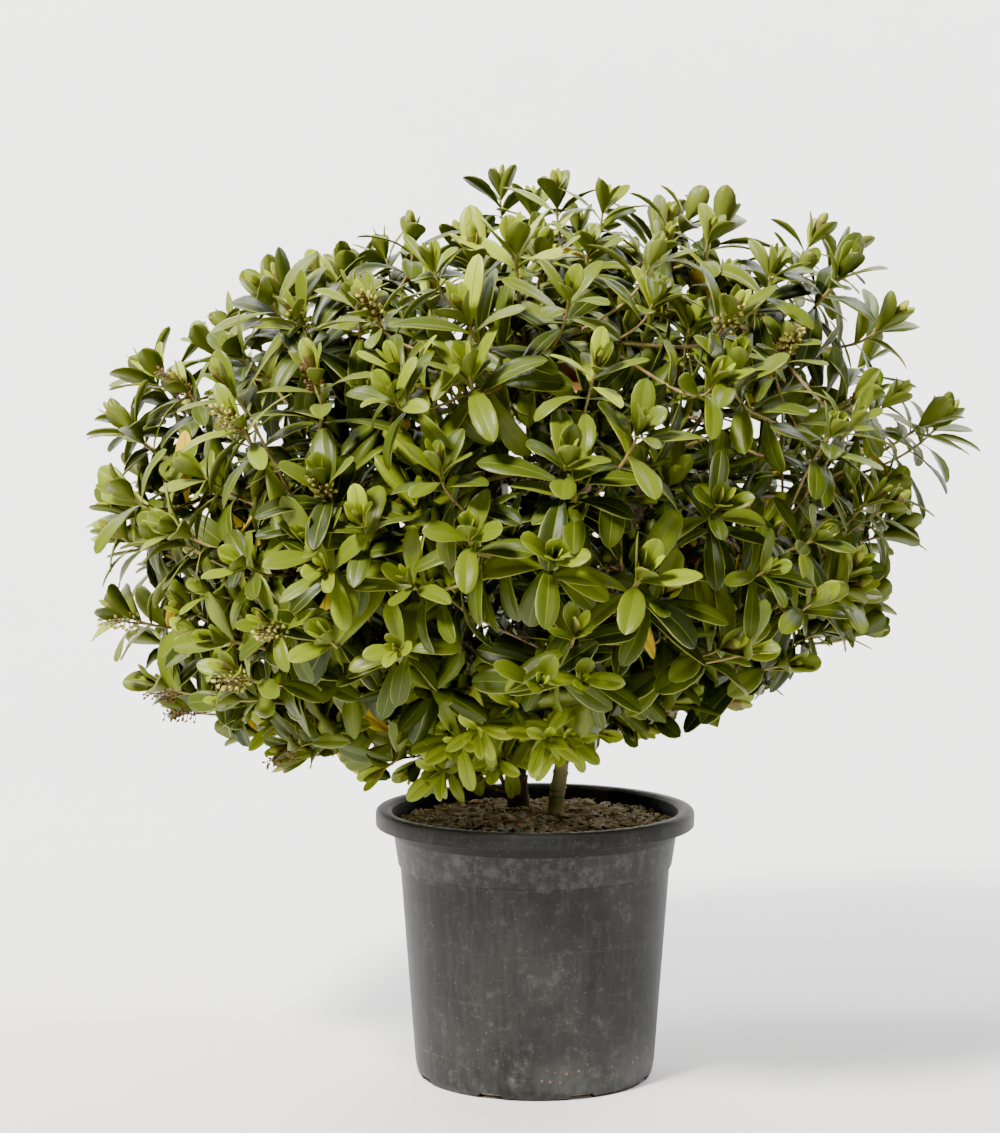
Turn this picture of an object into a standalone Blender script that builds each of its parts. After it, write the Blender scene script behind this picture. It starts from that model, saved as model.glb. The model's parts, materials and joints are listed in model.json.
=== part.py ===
"""A hebe shrub in a round black nursery pot, life size.

Units are metres, +Z is up and the origin is the centre of the pot's flat underside.
Two woody stems leave the potting mix, fork low down and spread into eleven boughs.
Every bough ends in two or three foliage masses. A mass is one solid: a stem, twigs
and leaves fused together. The masses share the crown by direction from its heart,
so each one keeps to a cone of its own.
Azimuths run from +X (right) through +Y (back), so 270 degrees is the front.
"""

import math
import random

import bmesh
import bpy
from mathutils import Vector
from mathutils.bvhtree import BVHTree

MM = 0.001
SEED = 42

# Pot
POT_HEIGHT = 253 * MM
LIP_RADIUS = 150 * MM
LIP_DEPTH = 15.5 * MM
BASE_RADIUS = 111 * MM
COLLAR_TOP_RADIUS = 135.8 * MM
COLLAR_FOOT_RADIUS = 128.6 * MM
COLLAR_FOOT = 199.5 * MM
COLLAR_STEP = 1.8 * MM
POT_WALL = 1.6 * MM
POT_FLOOR = 2.2 * MM
POT_SIDES = 40
DRAIN_COUNT = 8
DRAIN_WIDTH = 25 * MM
DRAIN_HEIGHT = 5 * MM
DRAIN_REACH = 12 * MM

# Potting mix
SOIL_MIDDLE = 242 * MM
SOIL_EDGE = 237.5 * MM
SOIL_FLAT_RADIUS = 80 * MM

# Gap between pieces that rest on each other
SEAT_GAP = 0.3 * MM

# Crown
HEART = Vector((-0.020, 0.005, 0.450))
CELL_CLEARANCE = 0.5 * MM
LOBE_DEPTH = 0.10
LOBE_SHARPNESS = 22.0
MASS_HALF_ANGLE = math.radians(31)
CLEFT_AZIMUTH = 266.0
CLEFT_HALF_WIDTH = 8.0
CLEFT_ELEVATIONS = (-24.0, 11.0)
LOWEST_ELEVATION = -31.0
# The crown's underside is a bowl: its mean height, how much higher it is on the right than in the
# middle, and how far it rises by the time it is UNDERSIDE_RADIUS from the heart
UNDERSIDE = 290 * MM
UNDERSIDE_TILT = 28 * MM
UNDERSIDE_RISE = 140 * MM
UNDERSIDE_RADIUS = 400 * MM
LOWEST_LEAF = 268 * MM

# Twigs and leaves, larger than life because they stand for finer ones
SHOOT_COUNT = 152
STEM_FOOT_RADIUS = 1.8 * MM
STEM_RADIUS = 2.3 * MM
STEM_END_RADIUS = 2.0 * MM
TWIG_RADIUS = 1.9 * MM
TWIG_END_RADIUS = 1.7 * MM
LEAF_LENGTH = 108 * MM
LEAF_WIDTH = 58 * MM
LEAF_THICKNESS = 2.0 * MM
LEAF_ROOT = 0.55 * MM
LEAF_WIDEST = 0.56
LEAF_ARCH = 0.07
SHOOT_LENGTH = 48 * MM
# Each pair of leaves: how far down the twig, how far it leans from the twig in degrees, and its size
LEAF_PAIRS = ((9 * MM, 44, 0.92), (36 * MM, 72, 1.0))
TIP_LEAF = (2 * MM, 12, 0.66)
# How far inside the crown's surface a twig ends, as a share of a leaf's length
TIP_INSET = 0.60
# A leaf with no room where it should be tries these swings round the twig, in radians, and sizes
LEAF_TRIES = ((0, 1), (0.6, 0.9), (-0.6, 0.9), (0, 0.72))
LIMB_CLEARANCE = 2.0 * MM
# A mass's leaves are shaken by a seed of its own, so that their crossings fuse into a sound solid.
# Where points closer than WELD join parts of its surface, the next seeds are tried.
WELD = 0.001 * MM
SEED_TRIES = 6
LEAF_SEEDS = {
    "mass_top": 7,
    "mass_upper_right": 5,
    "mass_upper_back_right": 3,
    "mass_upper_back_left": 5,
    "mass_upper_left": 7,
    "mass_upper_front": 1,
    "mass_middle_right": 6,
    "mass_middle_back_right": 7,
    "mass_middle_back": 0,
    "mass_middle_back_left": 0,
    "mass_middle_left": 1,
    "mass_middle_front_left": 2,
    "mass_middle_front": 2,
    "mass_middle_front_right": 3,
    "mass_lower_right": 2,
    "mass_lower_back_right": 6,
    "mass_lower_back": 1,
    "mass_lower_left": 4,
    "mass_lower_front_left": 5,
    "mass_lower_front_right": 3,
    "mass_skirt_left": 6,
    "mass_skirt_right": 0,
    "mass_sprout_left": 1,
    "mass_sprout_right": 1,
}

SPROUT_SIZE = 0.62

# Dry and green seed heads
SEED_HEAD_LENGTH = 34 * MM
SEED_HEAD_RADIUS = 9 * MM
SEED_HEAD_STALK = 14 * MM
SEED_HEAD_ANGLE = math.radians(10)

BARK = ((0.30, 0.21, 0.12), 0.85)
FOLIAGE = ((0.16, 0.25, 0.045), 0.42)
PLASTIC = ((0.045, 0.046, 0.044), 0.55)
POTTING_MIX = ((0.24, 0.17, 0.10), 0.95)

# Each mass: azimuth and elevation of its middle in degrees, and the reach of its tips from the heart
MASSES = {
    "mass_top": (10, 76, 0.425),
    "mass_upper_right": (350, 48, 0.445),
    "mass_upper_back_right": (62, 48, 0.410),
    "mass_upper_back_left": (134, 48, 0.400),
    "mass_upper_left": (198, 51, 0.386),
    "mass_upper_front": (274, 50, 0.405),
    "mass_middle_right": (4, 20, 0.432),
    "mass_middle_back_right": (54, 15, 0.405),
    "mass_middle_back": (101, 16, 0.390),
    "mass_middle_back_left": (146, 15, 0.400),
    "mass_middle_left": (184, 24, 0.420),
    "mass_middle_front_left": (229, 17, 0.400),
    "mass_middle_front": (277, 21, 0.385),
    "mass_middle_front_right": (323, 17, 0.405),
    "mass_lower_right": (349, -7, 0.345),
    "mass_lower_back_right": (44, -13, 0.345),
    "mass_lower_back": (108, -17, 0.355),
    "mass_lower_left": (180, -4, 0.400),
    "mass_lower_front_left": (229, -14, 0.365),
    "mass_lower_front_right": (301, -12, 0.345),
    "mass_skirt_left": (204, -33, 0.280),
    "mass_skirt_right": (331, -33, 0.245),
    "mass_sprout_left": (247, -50, 0.205),
    "mass_sprout_right": (292, -46, 0.180),
}

# Each stem or limb: what it grows from, then points as (x, y, z, radius)
STEMS = {
    "stem_light": (
        (0.0190, 0.000, SOIL_MIDDLE + SEAT_GAP, 9.2 * MM),
        (0.0190, 0.000, 0.2470, 7.6 * MM),
        (0.0232, 0.000, 0.2800, 6.8 * MM),
        (0.0285, 0.001, 0.3100, 6.6 * MM),
        (0.0360, 0.002, 0.3280, 7.2 * MM),
        (0.0400, 0.002, 0.3370, 7.6 * MM),
    ),
    "stem_dark": (
        (-0.0150, 0.042, SOIL_MIDDLE + SEAT_GAP, 13.0 * MM),
        (-0.0150, 0.042, 0.2480, 10.6 * MM),
        (-0.0162, 0.042, 0.2640, 9.6 * MM),
        (-0.0170, 0.042, 0.2760, 10.4 * MM),
    ),
}
LIMBS = {
    "limb_left": ("stem_dark", (-0.056, 0.026, 0.385), (-0.45, -0.12, 0.88), 5.0 * MM),
    "limb_middle": ("stem_dark", (-0.010, 0.046, 0.400), (0.10, 0.05, 0.99), 4.8 * MM),
}
BOUGHS = {
    "bough_right_low": ("stem_light", ("mass_lower_right", "mass_skirt_right")),
    "bough_right": ("stem_light", ("mass_middle_right", "mass_middle_front_right")),
    "bough_right_top": ("stem_light", ("mass_upper_right", "mass_top")),
    "bough_front_right": ("stem_light", ("mass_lower_front_right", "mass_middle_front")),
    "bough_left_low": ("limb_left", ("mass_lower_left", "mass_skirt_left")),
    "bough_left": ("limb_left", ("mass_middle_left", "mass_upper_left")),
    "bough_front_left": ("limb_left", ("mass_lower_front_left", "mass_middle_front_left")),
    "bough_back_left": ("limb_left", ("mass_middle_back_left", "mass_lower_back")),
    "bough_front_top": ("limb_middle", ("mass_upper_front",)),
    "bough_back": ("limb_middle", ("mass_middle_back", "mass_upper_back_left")),
    "bough_back_right": (
        "limb_middle",
        ("mass_middle_back_right", "mass_upper_back_right", "mass_lower_back_right"),
    ),
}
BOUGH_SHARE = 0.42
BOUGH_TAPER = 0.82
KNUCKLE = 1.25
# Low sprouts leave the side of a stem: the stem, the height and the azimuth they leave at
SPROUTS = {
    "mass_sprout_left": ("stem_dark", 0.258, 250.0),
    "mass_sprout_right": ("stem_light", 0.296, 268.0),
}
# Seed heads by azimuth and elevation, as they show from the front
SEED_HEADS = (
    (226, 47),
    (240, 40),
    (206, 33),
    (247, 25),
    (241, 0),
    (190, -2),
    (212, -24),
    (324, 30),
)


def direction(azimuth, elevation):
    """Unit vector from two angles in degrees."""
    a, e = math.radians(azimuth), math.radians(elevation)
    return Vector((math.cos(e) * math.cos(a), math.cos(e) * math.sin(a), math.sin(e)))


MASS_WAYS = {name: direction(az, el) for name, (az, el, _) in MASSES.items()}


def clear_scene():
    for obj in list(bpy.data.objects):
        bpy.data.objects.remove(obj)


def new_collection(name):
    made = bpy.data.collections.new(name)
    bpy.context.scene.collection.children.link(made)
    return made


def material(name, finish):
    colour, roughness = finish
    made = bpy.data.materials.new(name)
    made.use_nodes = True
    shader = made.node_tree.nodes["Principled BSDF"]
    shader.inputs["Base Color"].default_value = (*colour, 1)
    shader.inputs["Roughness"].default_value = roughness
    shader.inputs["Metallic"].default_value = 0
    return made


def add_mesh(name, mesh, collection, finish=None):
    obj = bpy.data.objects.new(name, mesh)
    collection.objects.link(obj)
    if finish:
        mesh.materials.append(finish)
    return obj


def turned(name, profile, collection, finish):
    """A profile of (radius, height) points, from the axis out and down its outer side, turned about Z."""
    mesh = bpy.data.meshes.new(name)
    points = [(radius, 0, height) for radius, height in profile]
    mesh.from_pydata(points, [(i, i + 1) for i in range(len(points) - 1)], [])
    obj = add_mesh(name, mesh, collection, finish)
    screw = obj.modifiers.new("turn", "SCREW")
    screw.steps = screw.render_steps = POT_SIDES
    screw.use_merge_vertices = True
    screw.merge_threshold = 0.00001
    return obj


def tube(name, points, radii, sides, collection, finish=None):
    """A tapering limb along points; sides is 4, 6 or 8."""
    curve = bpy.data.curves.new(name, "CURVE")
    curve.dimensions = "3D"
    curve.bevel_depth = radii[0]
    curve.bevel_resolution = (sides - 4) // 2
    curve.use_fill_caps = True
    spline = curve.splines.new("POLY")
    spline.points.add(len(points) - 1)
    for knot, point, radius in zip(spline.points, points, radii):
        knot.co = (*point, 1)
        knot.radius = radius / radii[0]
    obj = bpy.data.objects.new(name, curve)
    collection.objects.link(obj)
    if finish:
        curve.materials.append(finish)
    return obj


def bezier(p0, p1, p2, p3, count):
    """count points along a cubic curve."""
    made = []
    for i in range(count):
        t = i / (count - 1)
        s = 1 - t
        made.append(p0 * s**3 + p1 * 3 * s * s * t + p2 * 3 * s * t * t + p3 * t**3)
    return made


def side_ways(way):
    """Two unit vectors square to way and to each other."""
    up = Vector((0, 0, 1)) if abs(way.z) < 0.9 else Vector((0, 1, 0))
    first = way.cross(up).normalized()
    return first, way.cross(first).normalized()


# Pot


def pot_profile():
    """Inside from the floor up, over the rolled lip and down the outside."""
    top, lip_foot = POT_HEIGHT, POT_HEIGHT - LIP_DEPTH
    step_radius = COLLAR_FOOT_RADIUS - COLLAR_STEP
    inside = [
        (0, POT_FLOOR),
        (BASE_RADIUS - POT_WALL - 2 * MM, POT_FLOOR),
        (step_radius - POT_WALL, COLLAR_FOOT),
        (COLLAR_TOP_RADIUS - POT_WALL, top - 6 * MM),
    ]
    lip = [
        (COLLAR_TOP_RADIUS + 3.0 * MM, top),
        (LIP_RADIUS - 3.0 * MM, top),
        (LIP_RADIUS, top - 5.0 * MM),
        (LIP_RADIUS, lip_foot),
        (LIP_RADIUS - POT_WALL, lip_foot),
        (LIP_RADIUS - 2 * POT_WALL, top - 4.0 * MM),
        (COLLAR_TOP_RADIUS, top - 6.0 * MM),
    ]
    outside = [
        (COLLAR_FOOT_RADIUS, COLLAR_FOOT),
        (step_radius, COLLAR_FOOT - 1 * MM),
        (BASE_RADIUS + 0.5 * MM, 6 * MM),
        (BASE_RADIUS - 3.0 * MM, 0),
        (0, 0),
    ]
    return inside + lip + outside


def make_pot(collection, cutters, finish):
    pot = turned("pot", pot_profile(), collection, finish)
    for i in range(DRAIN_COUNT):
        turn = (i + 0.5) * 2 * math.pi / DRAIN_COUNT
        mesh = bpy.data.meshes.new("drain")
        shape = bmesh.new()
        bmesh.ops.create_cube(shape, size=1)
        size = Vector((2 * DRAIN_REACH, DRAIN_WIDTH, 2 * DRAIN_HEIGHT))
        bmesh.ops.scale(shape, vec=size, verts=shape.verts)
        shape.to_mesh(mesh)
        shape.free()
        drain = add_mesh(f"drain_{i}", mesh, cutters)
        drain.location = (BASE_RADIUS * math.cos(turn), BASE_RADIUS * math.sin(turn), 0)
        drain.rotation_euler.z = turn
        drain.hide_render = True
        drain.display_type = "WIRE"
    cut = pot.modifiers.new("drains", "BOOLEAN")
    cut.operation = "DIFFERENCE"
    cut.operand_type = "COLLECTION"
    cut.collection = cutters
    cut.solver = "EXACT"
    return pot


def make_soil(collection, finish):
    step_radius = COLLAR_FOOT_RADIUS - COLLAR_STEP
    gap = POT_WALL + 2 * SEAT_GAP
    profile = [
        (0, SOIL_MIDDLE),
        (SOIL_FLAT_RADIUS, SOIL_MIDDLE),
        (COLLAR_TOP_RADIUS - gap - 2 * MM, SOIL_EDGE),
        (step_radius - gap, COLLAR_FOOT),
        (BASE_RADIUS - gap - 2 * MM, POT_FLOOR + SEAT_GAP),
        (0, POT_FLOOR + SEAT_GAP),
    ]
    return turned("potting_mix", profile, collection, finish)


# Stems, limbs and boughs


class Limb:
    """A tapering run of points, kept so that twigs and leaves can stay clear of it."""

    every = []

    def __init__(self, owner, points, radii):
        self.owner, self.points, self.radii = owner, points, radii
        self.tip = points[-1]
        self.way = (points[-1] - points[-2]).normalized()
        self.end_radius = radii[-1]
        Limb.every.append(self)

    def near(self, point, clearance):
        """Whether point lies within clearance of the limb's surface."""
        for i in range(len(self.points) - 1):
            a, b = self.points[i], self.points[i + 1]
            run = b - a
            t = max(0, min(1, (point - a).dot(run) / run.length_squared))
            radius = self.radii[i] + (self.radii[i + 1] - self.radii[i]) * t
            if (a + run * t - point).length < radius + clearance:
                return True
        return False


def fork_places(parent, ways):
    """Start point and radius for each child on the parent's flat tip, side by side in the order of their ways."""
    count = len(ways)
    if count == 1:
        return [(parent.tip + parent.way * SEAT_GAP, 0.9 * parent.end_radius)]
    across, along = side_ways(parent.way)
    angles = [math.atan2(way.dot(along), way.dot(across)) for way in ways]
    order = sorted(range(count), key=lambda i: angles[i])
    step = 2 * math.pi / count
    shifts = [angles[child] - place * step for place, child in enumerate(order)]
    turn = math.atan2(sum(map(math.sin, shifts)), sum(map(math.cos, shifts)))
    packed = math.sin(math.pi / count)
    radius = parent.end_radius * packed / (1 + packed) - 2 * SEAT_GAP
    places = [None] * count
    for place, child in enumerate(order):
        angle = turn + place * step
        offset = across * math.cos(angle) + along * math.sin(angle)
        start = parent.tip + offset * (parent.end_radius - radius) + parent.way * SEAT_GAP
        places[child] = (start, radius)
    return places


def grown(start, way, target, arrival, count, straight):
    """Points that leave start along way for a short straight run, then bend to reach target along arrival."""
    first = start + way * straight
    reach = (target - first).length
    bend = bezier(first, first + way * reach * 0.3, target - arrival * reach * 0.3, target, count)
    return [start, *bend]


def evenly(start, end, count):
    return [start + (end - start) * i / (count - 1) for i in range(count)]


def swollen(start, end, count):
    """Radii that taper, then swell into the knuckle that the next limbs leave."""
    radii = evenly(start, end, count)
    radii[-1] *= KNUCKLE
    return radii


def between(start, end, count):
    """count points from start, which is left out, to end."""
    return [start.lerp(end, (i + 1) / count) for i in range(count)]


def make_limbs(collection, finish):
    """Stems, then the limbs on the dark stem's fork, then the boughs. Returns where each mass's stem starts."""
    limbs = {}
    for name, rows in STEMS.items():
        points = [Vector(row[:3]) for row in rows]
        radii = [row[3] for row in rows]
        limbs[name] = Limb(name, points, radii)
        tube(name, points, radii, 8, collection, finish)
    names = list(LIMBS)
    parent = limbs["stem_dark"]
    ways = [Vector(LIMBS[name][1]) - parent.tip for name in names]
    for name, (start, radius) in zip(names, fork_places(parent, ways)):
        _, end, arrival, end_radius = LIMBS[name]
        arrival = Vector(arrival).normalized()
        points = grown(start, parent.way, Vector(end), arrival, 5, 5 * MM)
        radii = swollen(radius, end_radius, len(points))
        limbs[name] = Limb(name, points, radii)
        tube(name, points, radii, 6, collection, finish)
    for fork in ("stem_light", "limb_left", "limb_middle"):
        names = [name for name, (origin, _) in BOUGHS.items() if origin == fork]
        parent = limbs[fork]
        tips, arrivals = [], []
        for name in names:
            masses = BOUGHS[name][1]
            ends = [HEART + MASS_WAYS[mass] * MASSES[mass][2] for mass in masses]
            middle = sum(ends, Vector()) / len(ends)
            tips.append(parent.tip.lerp(middle, BOUGH_SHARE))
            arrivals.append((middle - parent.tip).normalized())
        places = fork_places(parent, [tip - parent.tip for tip in tips])
        for name, tip, arrival, (start, radius) in zip(names, tips, arrivals, places):
            points = grown(start, parent.way, tip, arrival, 5, 4 * MM)
            radii = swollen(radius, radius * BOUGH_TAPER, len(points))
            limbs[name] = Limb(name, points, radii)
            tube(name, points, radii, 6, collection, finish)
    return limbs


def mass_roots(limbs):
    """For each mass: start point, way and radius of its stem, 0.3 mm clear of the limb that bears it."""
    roots = {}
    for name, (_, masses) in BOUGHS.items():
        parent = limbs[name]
        ways = [HEART + MASS_WAYS[mass] * MASSES[mass][2] - parent.tip for mass in masses]
        for mass, (start, radius) in zip(masses, fork_places(parent, ways)):
            roots[mass] = (start, parent.way, min(radius, STEM_FOOT_RADIUS))
    for mass, (stem, height, azimuth) in SPROUTS.items():
        limb = limbs[stem]
        for i in range(len(limb.points) - 1):
            low, high = limb.points[i], limb.points[i + 1]
            if low.z <= height <= high.z:
                share = (height - low.z) / (high.z - low.z)
                centre = low.lerp(high, share)
                radius = limb.radii[i] + (limb.radii[i + 1] - limb.radii[i]) * share
        way = direction(azimuth, 0)
        roots[mass] = (centre + way * (radius + SEAT_GAP), way, STEM_FOOT_RADIUS)
    return roots


# The crown's shape


def reach_of(way):
    """Distance from the heart to the crown's surface: the masses' reaches blended, with dips between them."""
    total = weight = 0
    closest = -1
    for name, middle in MASS_WAYS.items():
        near = way.dot(middle)
        closest = max(closest, near)
        share = math.exp(LOBE_SHARPNESS * (near - 1))
        total += share * MASSES[name][2]
        weight += share
    dip = LOBE_DEPTH * min(1, math.acos(min(1, closest)) / MASS_HALF_ANGLE) ** 2
    reach = total / weight * (1 - dip)
    while way.z < 0 and (HEART + way * reach).z < underside(HEART + way * reach):
        reach *= 0.97
    return reach


def underside(point):
    """Height of the crown's underside above or below the point."""
    radius = math.hypot(point.x - HEART.x, point.y - HEART.y)
    tilt = UNDERSIDE_TILT * (point.x - HEART.x) / max(radius, LOWEST_LEAF / 2)
    return UNDERSIDE + tilt + UNDERSIDE_RISE * (radius / UNDERSIDE_RADIUS) ** 3


def mass_of(way):
    return max(MASS_WAYS, key=lambda name: way.dot(MASS_WAYS[name]))


def in_cleft(way):
    """The open place low in the front, where the stems show."""
    azimuth = math.degrees(math.atan2(way.y, way.x)) % 360
    elevation = math.degrees(math.asin(way.z))
    low, high = CLEFT_ELEVATIONS
    return abs(azimuth - CLEFT_AZIMUTH) < CLEFT_HALF_WIDTH and low < elevation < high


def shoot_ways(count, rng):
    """Even, slightly shaken ways over the crown, each with the mass that it belongs to."""
    golden = math.pi * (3 - math.sqrt(5))
    shoots = {name: [] for name in MASSES}
    for i in range(count):
        height = 1 - 2 * (i + 0.5) / count
        ring = math.sqrt(1 - height * height)
        way = Vector((ring * math.cos(i * golden), ring * math.sin(i * golden), height))
        shake = Vector([rng.uniform(-1, 1) for _ in range(3)]) * 0.06
        way = (way + shake).normalized()
        name = mass_of(way)
        low = math.degrees(math.asin(way.z)) < LOWEST_ELEVATION and MASSES[name][1] > LOWEST_ELEVATION
        if way.angle(MASS_WAYS[name]) < MASS_HALF_ANGLE and not low and not in_cleft(way):
            shoots[name].append(way)
    return shoots


class Cell:
    """The cone that a mass keeps to: nearer in direction to it than to any other mass."""

    def __init__(self, name):
        own = MASS_WAYS[name]
        others = [way for other, way in MASS_WAYS.items() if other != name]
        self.walls = [(own - way).normalized() for way in others if own.dot(way) > 0.2]
        self.low = name in SPROUTS

    def holds(self, point):
        """Whether the point is inside, clear of the walls, and above the crown's underside."""
        way = point - HEART
        floor = LOWEST_LEAF if self.low else underside(point)
        return point.z > floor and all(way.dot(wall) > CELL_CLEARANCE for wall in self.walls)


# Leaves, twigs and seed heads


def leaf_shape(base, way, face, length, width):
    """Corners and faces of a keeled leaf: a small three-cornered root, a wide section and a pointed tip.

    way runs from root to tip and face is the upper side's normal.
    """
    side = way.cross(face).normalized()
    wide = base + way * (LEAF_WIDEST * length) + face * (LEAF_ARCH * length)
    corners = [
        base + side * LEAF_ROOT + face * LEAF_ROOT / 2,
        base - side * LEAF_ROOT + face * LEAF_ROOT / 2,
        base - face * LEAF_ROOT,
        wide + side * (width / 2),
        wide - side * (width / 2),
        wide - face * LEAF_THICKNESS,
        base + way * length,
    ]
    faces = [
        (0, 1, 2),
        (1, 0, 3),
        (1, 3, 4),
        (2, 1, 4),
        (2, 4, 5),
        (0, 2, 5),
        (0, 5, 3),
        (4, 3, 6),
        (3, 5, 6),
        (5, 4, 6),
    ]
    return corners, faces


def twig_mesh(points, radii):
    """A three-sided tapering run with closed ends."""
    shape = bmesh.new()
    rings = []
    across = side_ways((points[1] - points[0]).normalized())[0]
    for i, (point, radius) in enumerate(zip(points, radii)):
        ahead = (points[min(i + 1, len(points) - 1)] - points[max(i - 1, 0)]).normalized()
        across = (across - ahead * across.dot(ahead)).normalized()
        along = ahead.cross(across)
        ring = []
        for corner in range(3):
            angle = 2 * math.pi * corner / 3
            offset = across * math.cos(angle) + along * math.sin(angle)
            ring.append(shape.verts.new(point + offset * radius))
        rings.append(ring)
    for low, high in zip(rings, rings[1:]):
        for i in range(3):
            j = (i + 1) % 3
            shape.faces.new((low[i], low[j], high[j], high[i]))
    shape.faces.new(rings[0][::-1])
    shape.faces.new(rings[-1])
    bmesh.ops.triangulate(shape, faces=shape.faces)
    mesh = bpy.data.meshes.new("twig")
    shape.to_mesh(mesh)
    shape.free()
    return mesh


def seed_head_mesh(foot, way):
    """A short stalk's head: a plump six-sided spindle."""
    mesh = bpy.data.meshes.new("seed_head")
    shape = bmesh.new()
    bmesh.ops.create_uvsphere(shape, u_segments=6, v_segments=4, radius=1)
    size = Vector((SEED_HEAD_RADIUS, SEED_HEAD_RADIUS, SEED_HEAD_LENGTH / 2))
    bmesh.ops.scale(shape, vec=size, verts=shape.verts)
    bmesh.ops.rotate(shape, matrix=way.to_track_quat("Z", "Y").to_matrix(), verts=shape.verts)
    bmesh.ops.translate(shape, vec=foot + way * SEED_HEAD_LENGTH * 0.5, verts=shape.verts)
    bmesh.ops.triangulate(shape, faces=shape.faces)
    shape.to_mesh(mesh)
    shape.free()
    return mesh


def on_run(points, share):
    """The point at that share of a run's length in steps."""
    place = share * (len(points) - 1)
    i = min(int(place), len(points) - 2)
    return points[i].lerp(points[i + 1], place - i)


def bodies_of(shape):
    """The shape's connected bodies, each as its volume and its faces."""
    bodies, seen = [], set()
    for first in shape.faces:
        if first in seen:
            continue
        seen.add(first)
        body, edge = [first], [first]
        while edge:
            for side in edge.pop().edges:
                for face in side.link_faces:
                    if face not in seen:
                        seen.add(face)
                        body.append(face)
                        edge.append(face)
        corners = [[corner.co for corner in face.verts] for face in body]
        bodies.append((sum(a.dot(b.cross(c)) for a, b, c in corners) / 6, body))
    return bodies


def mend(mesh):
    """Take out hollows and scraps. Returns whether what is left is a sound solid."""
    shape = bmesh.new()
    shape.from_mesh(mesh)
    bmesh.ops.triangulate(shape, faces=shape.faces)
    bodies = bodies_of(shape)
    largest = max(bodies, key=lambda body: body[0])
    spare = [face for body in bodies if body is not largest for face in body[1]]
    bmesh.ops.delete(shape, geom=spare, context="FACES")
    shape.to_mesh(mesh)
    bmesh.ops.remove_doubles(shape, verts=shape.verts, dist=WELD)
    closed = all(len(edge.link_faces) == 2 for edge in shape.edges)
    shape.free()
    return closed


class MassMaker:
    """Collects one mass's pieces, then fuses them into one solid."""

    def __init__(self, name, limbs, rng):
        self.name, self.rng = name, rng
        self.cell = Cell(name)
        self.limbs = limbs
        self.bits = new_collection("bits")
        self.taken = []

    def clear(self, points, clearance=LIMB_CLEARANCE):
        """Whether the points keep to the mass's space and off every limb and other mass's stem."""
        if not all(self.cell.holds(point) for point in points):
            return False
        others = [limb for limb in self.limbs if limb.owner != self.name]
        return not any(limb.near(point, clearance) for limb in others for point in points)

    def add_bit(self, mesh):
        return add_mesh("bit", mesh, self.bits)

    def add_twig(self, points, radii):
        self.add_bit(twig_mesh(points, radii))
        half = Vector((0, 0, radii[0]))
        for a, b in zip(points, points[1:]):
            self.taken.append(BVHTree.FromPolygons([a - half, a + half, b + half, b - half], [(0, 1, 2, 3)]))

    def add_leaf(self, base, way, face, length, width, own):
        """One leaf, unless it would leave the space, touch a limb or cross another leaf or twig than own."""
        corners, faces = leaf_shape(base, way, face, length, width)
        blade = [base.lerp(corners[6], 0.1), *corners[3:5], corners[6]]
        middles = [base.lerp(corner, share) for corner in corners[3:] for share in (0.5, 0.8)]
        tree = BVHTree.FromPolygons(blade, [(0, 1, 3), (0, 3, 2), (0, 1, 2)])
        crossed = any(tree.overlap(other) for other in self.taken if other not in own)
        if crossed or not self.clear([*corners[3:], *middles]):
            return False
        self.taken.append(tree)
        mesh = bpy.data.meshes.new("leaf")
        mesh.from_pydata(corners, [], faces)
        self.add_bit(mesh)
        return True

    def add_rosette(self, tip, axis, size, turn):
        """A leaf at the tip, and pairs at right angles to the pair above, flatter and longer down the twig."""
        own = self.taken[-2:]
        across, along = side_ways(axis)
        rows = [(TIP_LEAF, turn)]
        for pair, row in enumerate(LEAF_PAIRS):
            rows += [(row, turn + (pair + 0.5 + 2 * half) * math.pi / 2) for half in range(2)]
        for (down, lean, share), angle in rows:
            for swing, shrink in LEAF_TRIES:
                bearing = angle + swing + self.rng.uniform(-0.2, 0.2)
                out = across * math.cos(bearing) + along * math.sin(bearing)
                tilt = math.radians(lean + self.rng.uniform(-6, 6))
                way = (axis * math.cos(tilt) + out * math.sin(tilt)).normalized()
                face = (axis - way * axis.dot(way)).normalized()
                share_now = share * size * shrink
                base = tip - axis * (down * size)
                if self.add_leaf(base, way, face, LEAF_LENGTH * share_now, LEAF_WIDTH * share_now, own):
                    break

    def add_seed_head(self, joint, head):
        """A seed head on a short stalk, where there is room."""
        lean = (head * 0.8 + Vector((0, 0, 0.5))).normalized()
        foot = joint + lean * SEED_HEAD_STALK
        if self.clear([foot, foot + lean * SEED_HEAD_LENGTH]):
            self.add_twig([joint, foot + lean * SEED_HEAD_LENGTH / 4], [TWIG_END_RADIUS] * 2)
            self.add_bit(seed_head_mesh(foot, lean))

    def fuse(self):
        """One Boolean union over all the mass's bits, applied."""
        first, *rest = list(self.bits.objects)
        self.bits.objects.unlink(first)
        bpy.context.scene.collection.objects.link(first)
        join = first.modifiers.new("join", "BOOLEAN")
        join.operation = "UNION"
        join.operand_type = "COLLECTION"
        join.collection = self.bits
        join.solver = "MANIFOLD"
        graph = bpy.context.evaluated_depsgraph_get()
        mesh = bpy.data.meshes.new_from_object(first.evaluated_get(graph))
        for obj in [first, *rest]:
            bpy.data.objects.remove(obj)
        bpy.data.collections.remove(self.bits)
        mesh.name = self.name
        mesh.materials.clear()
        return mesh


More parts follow.
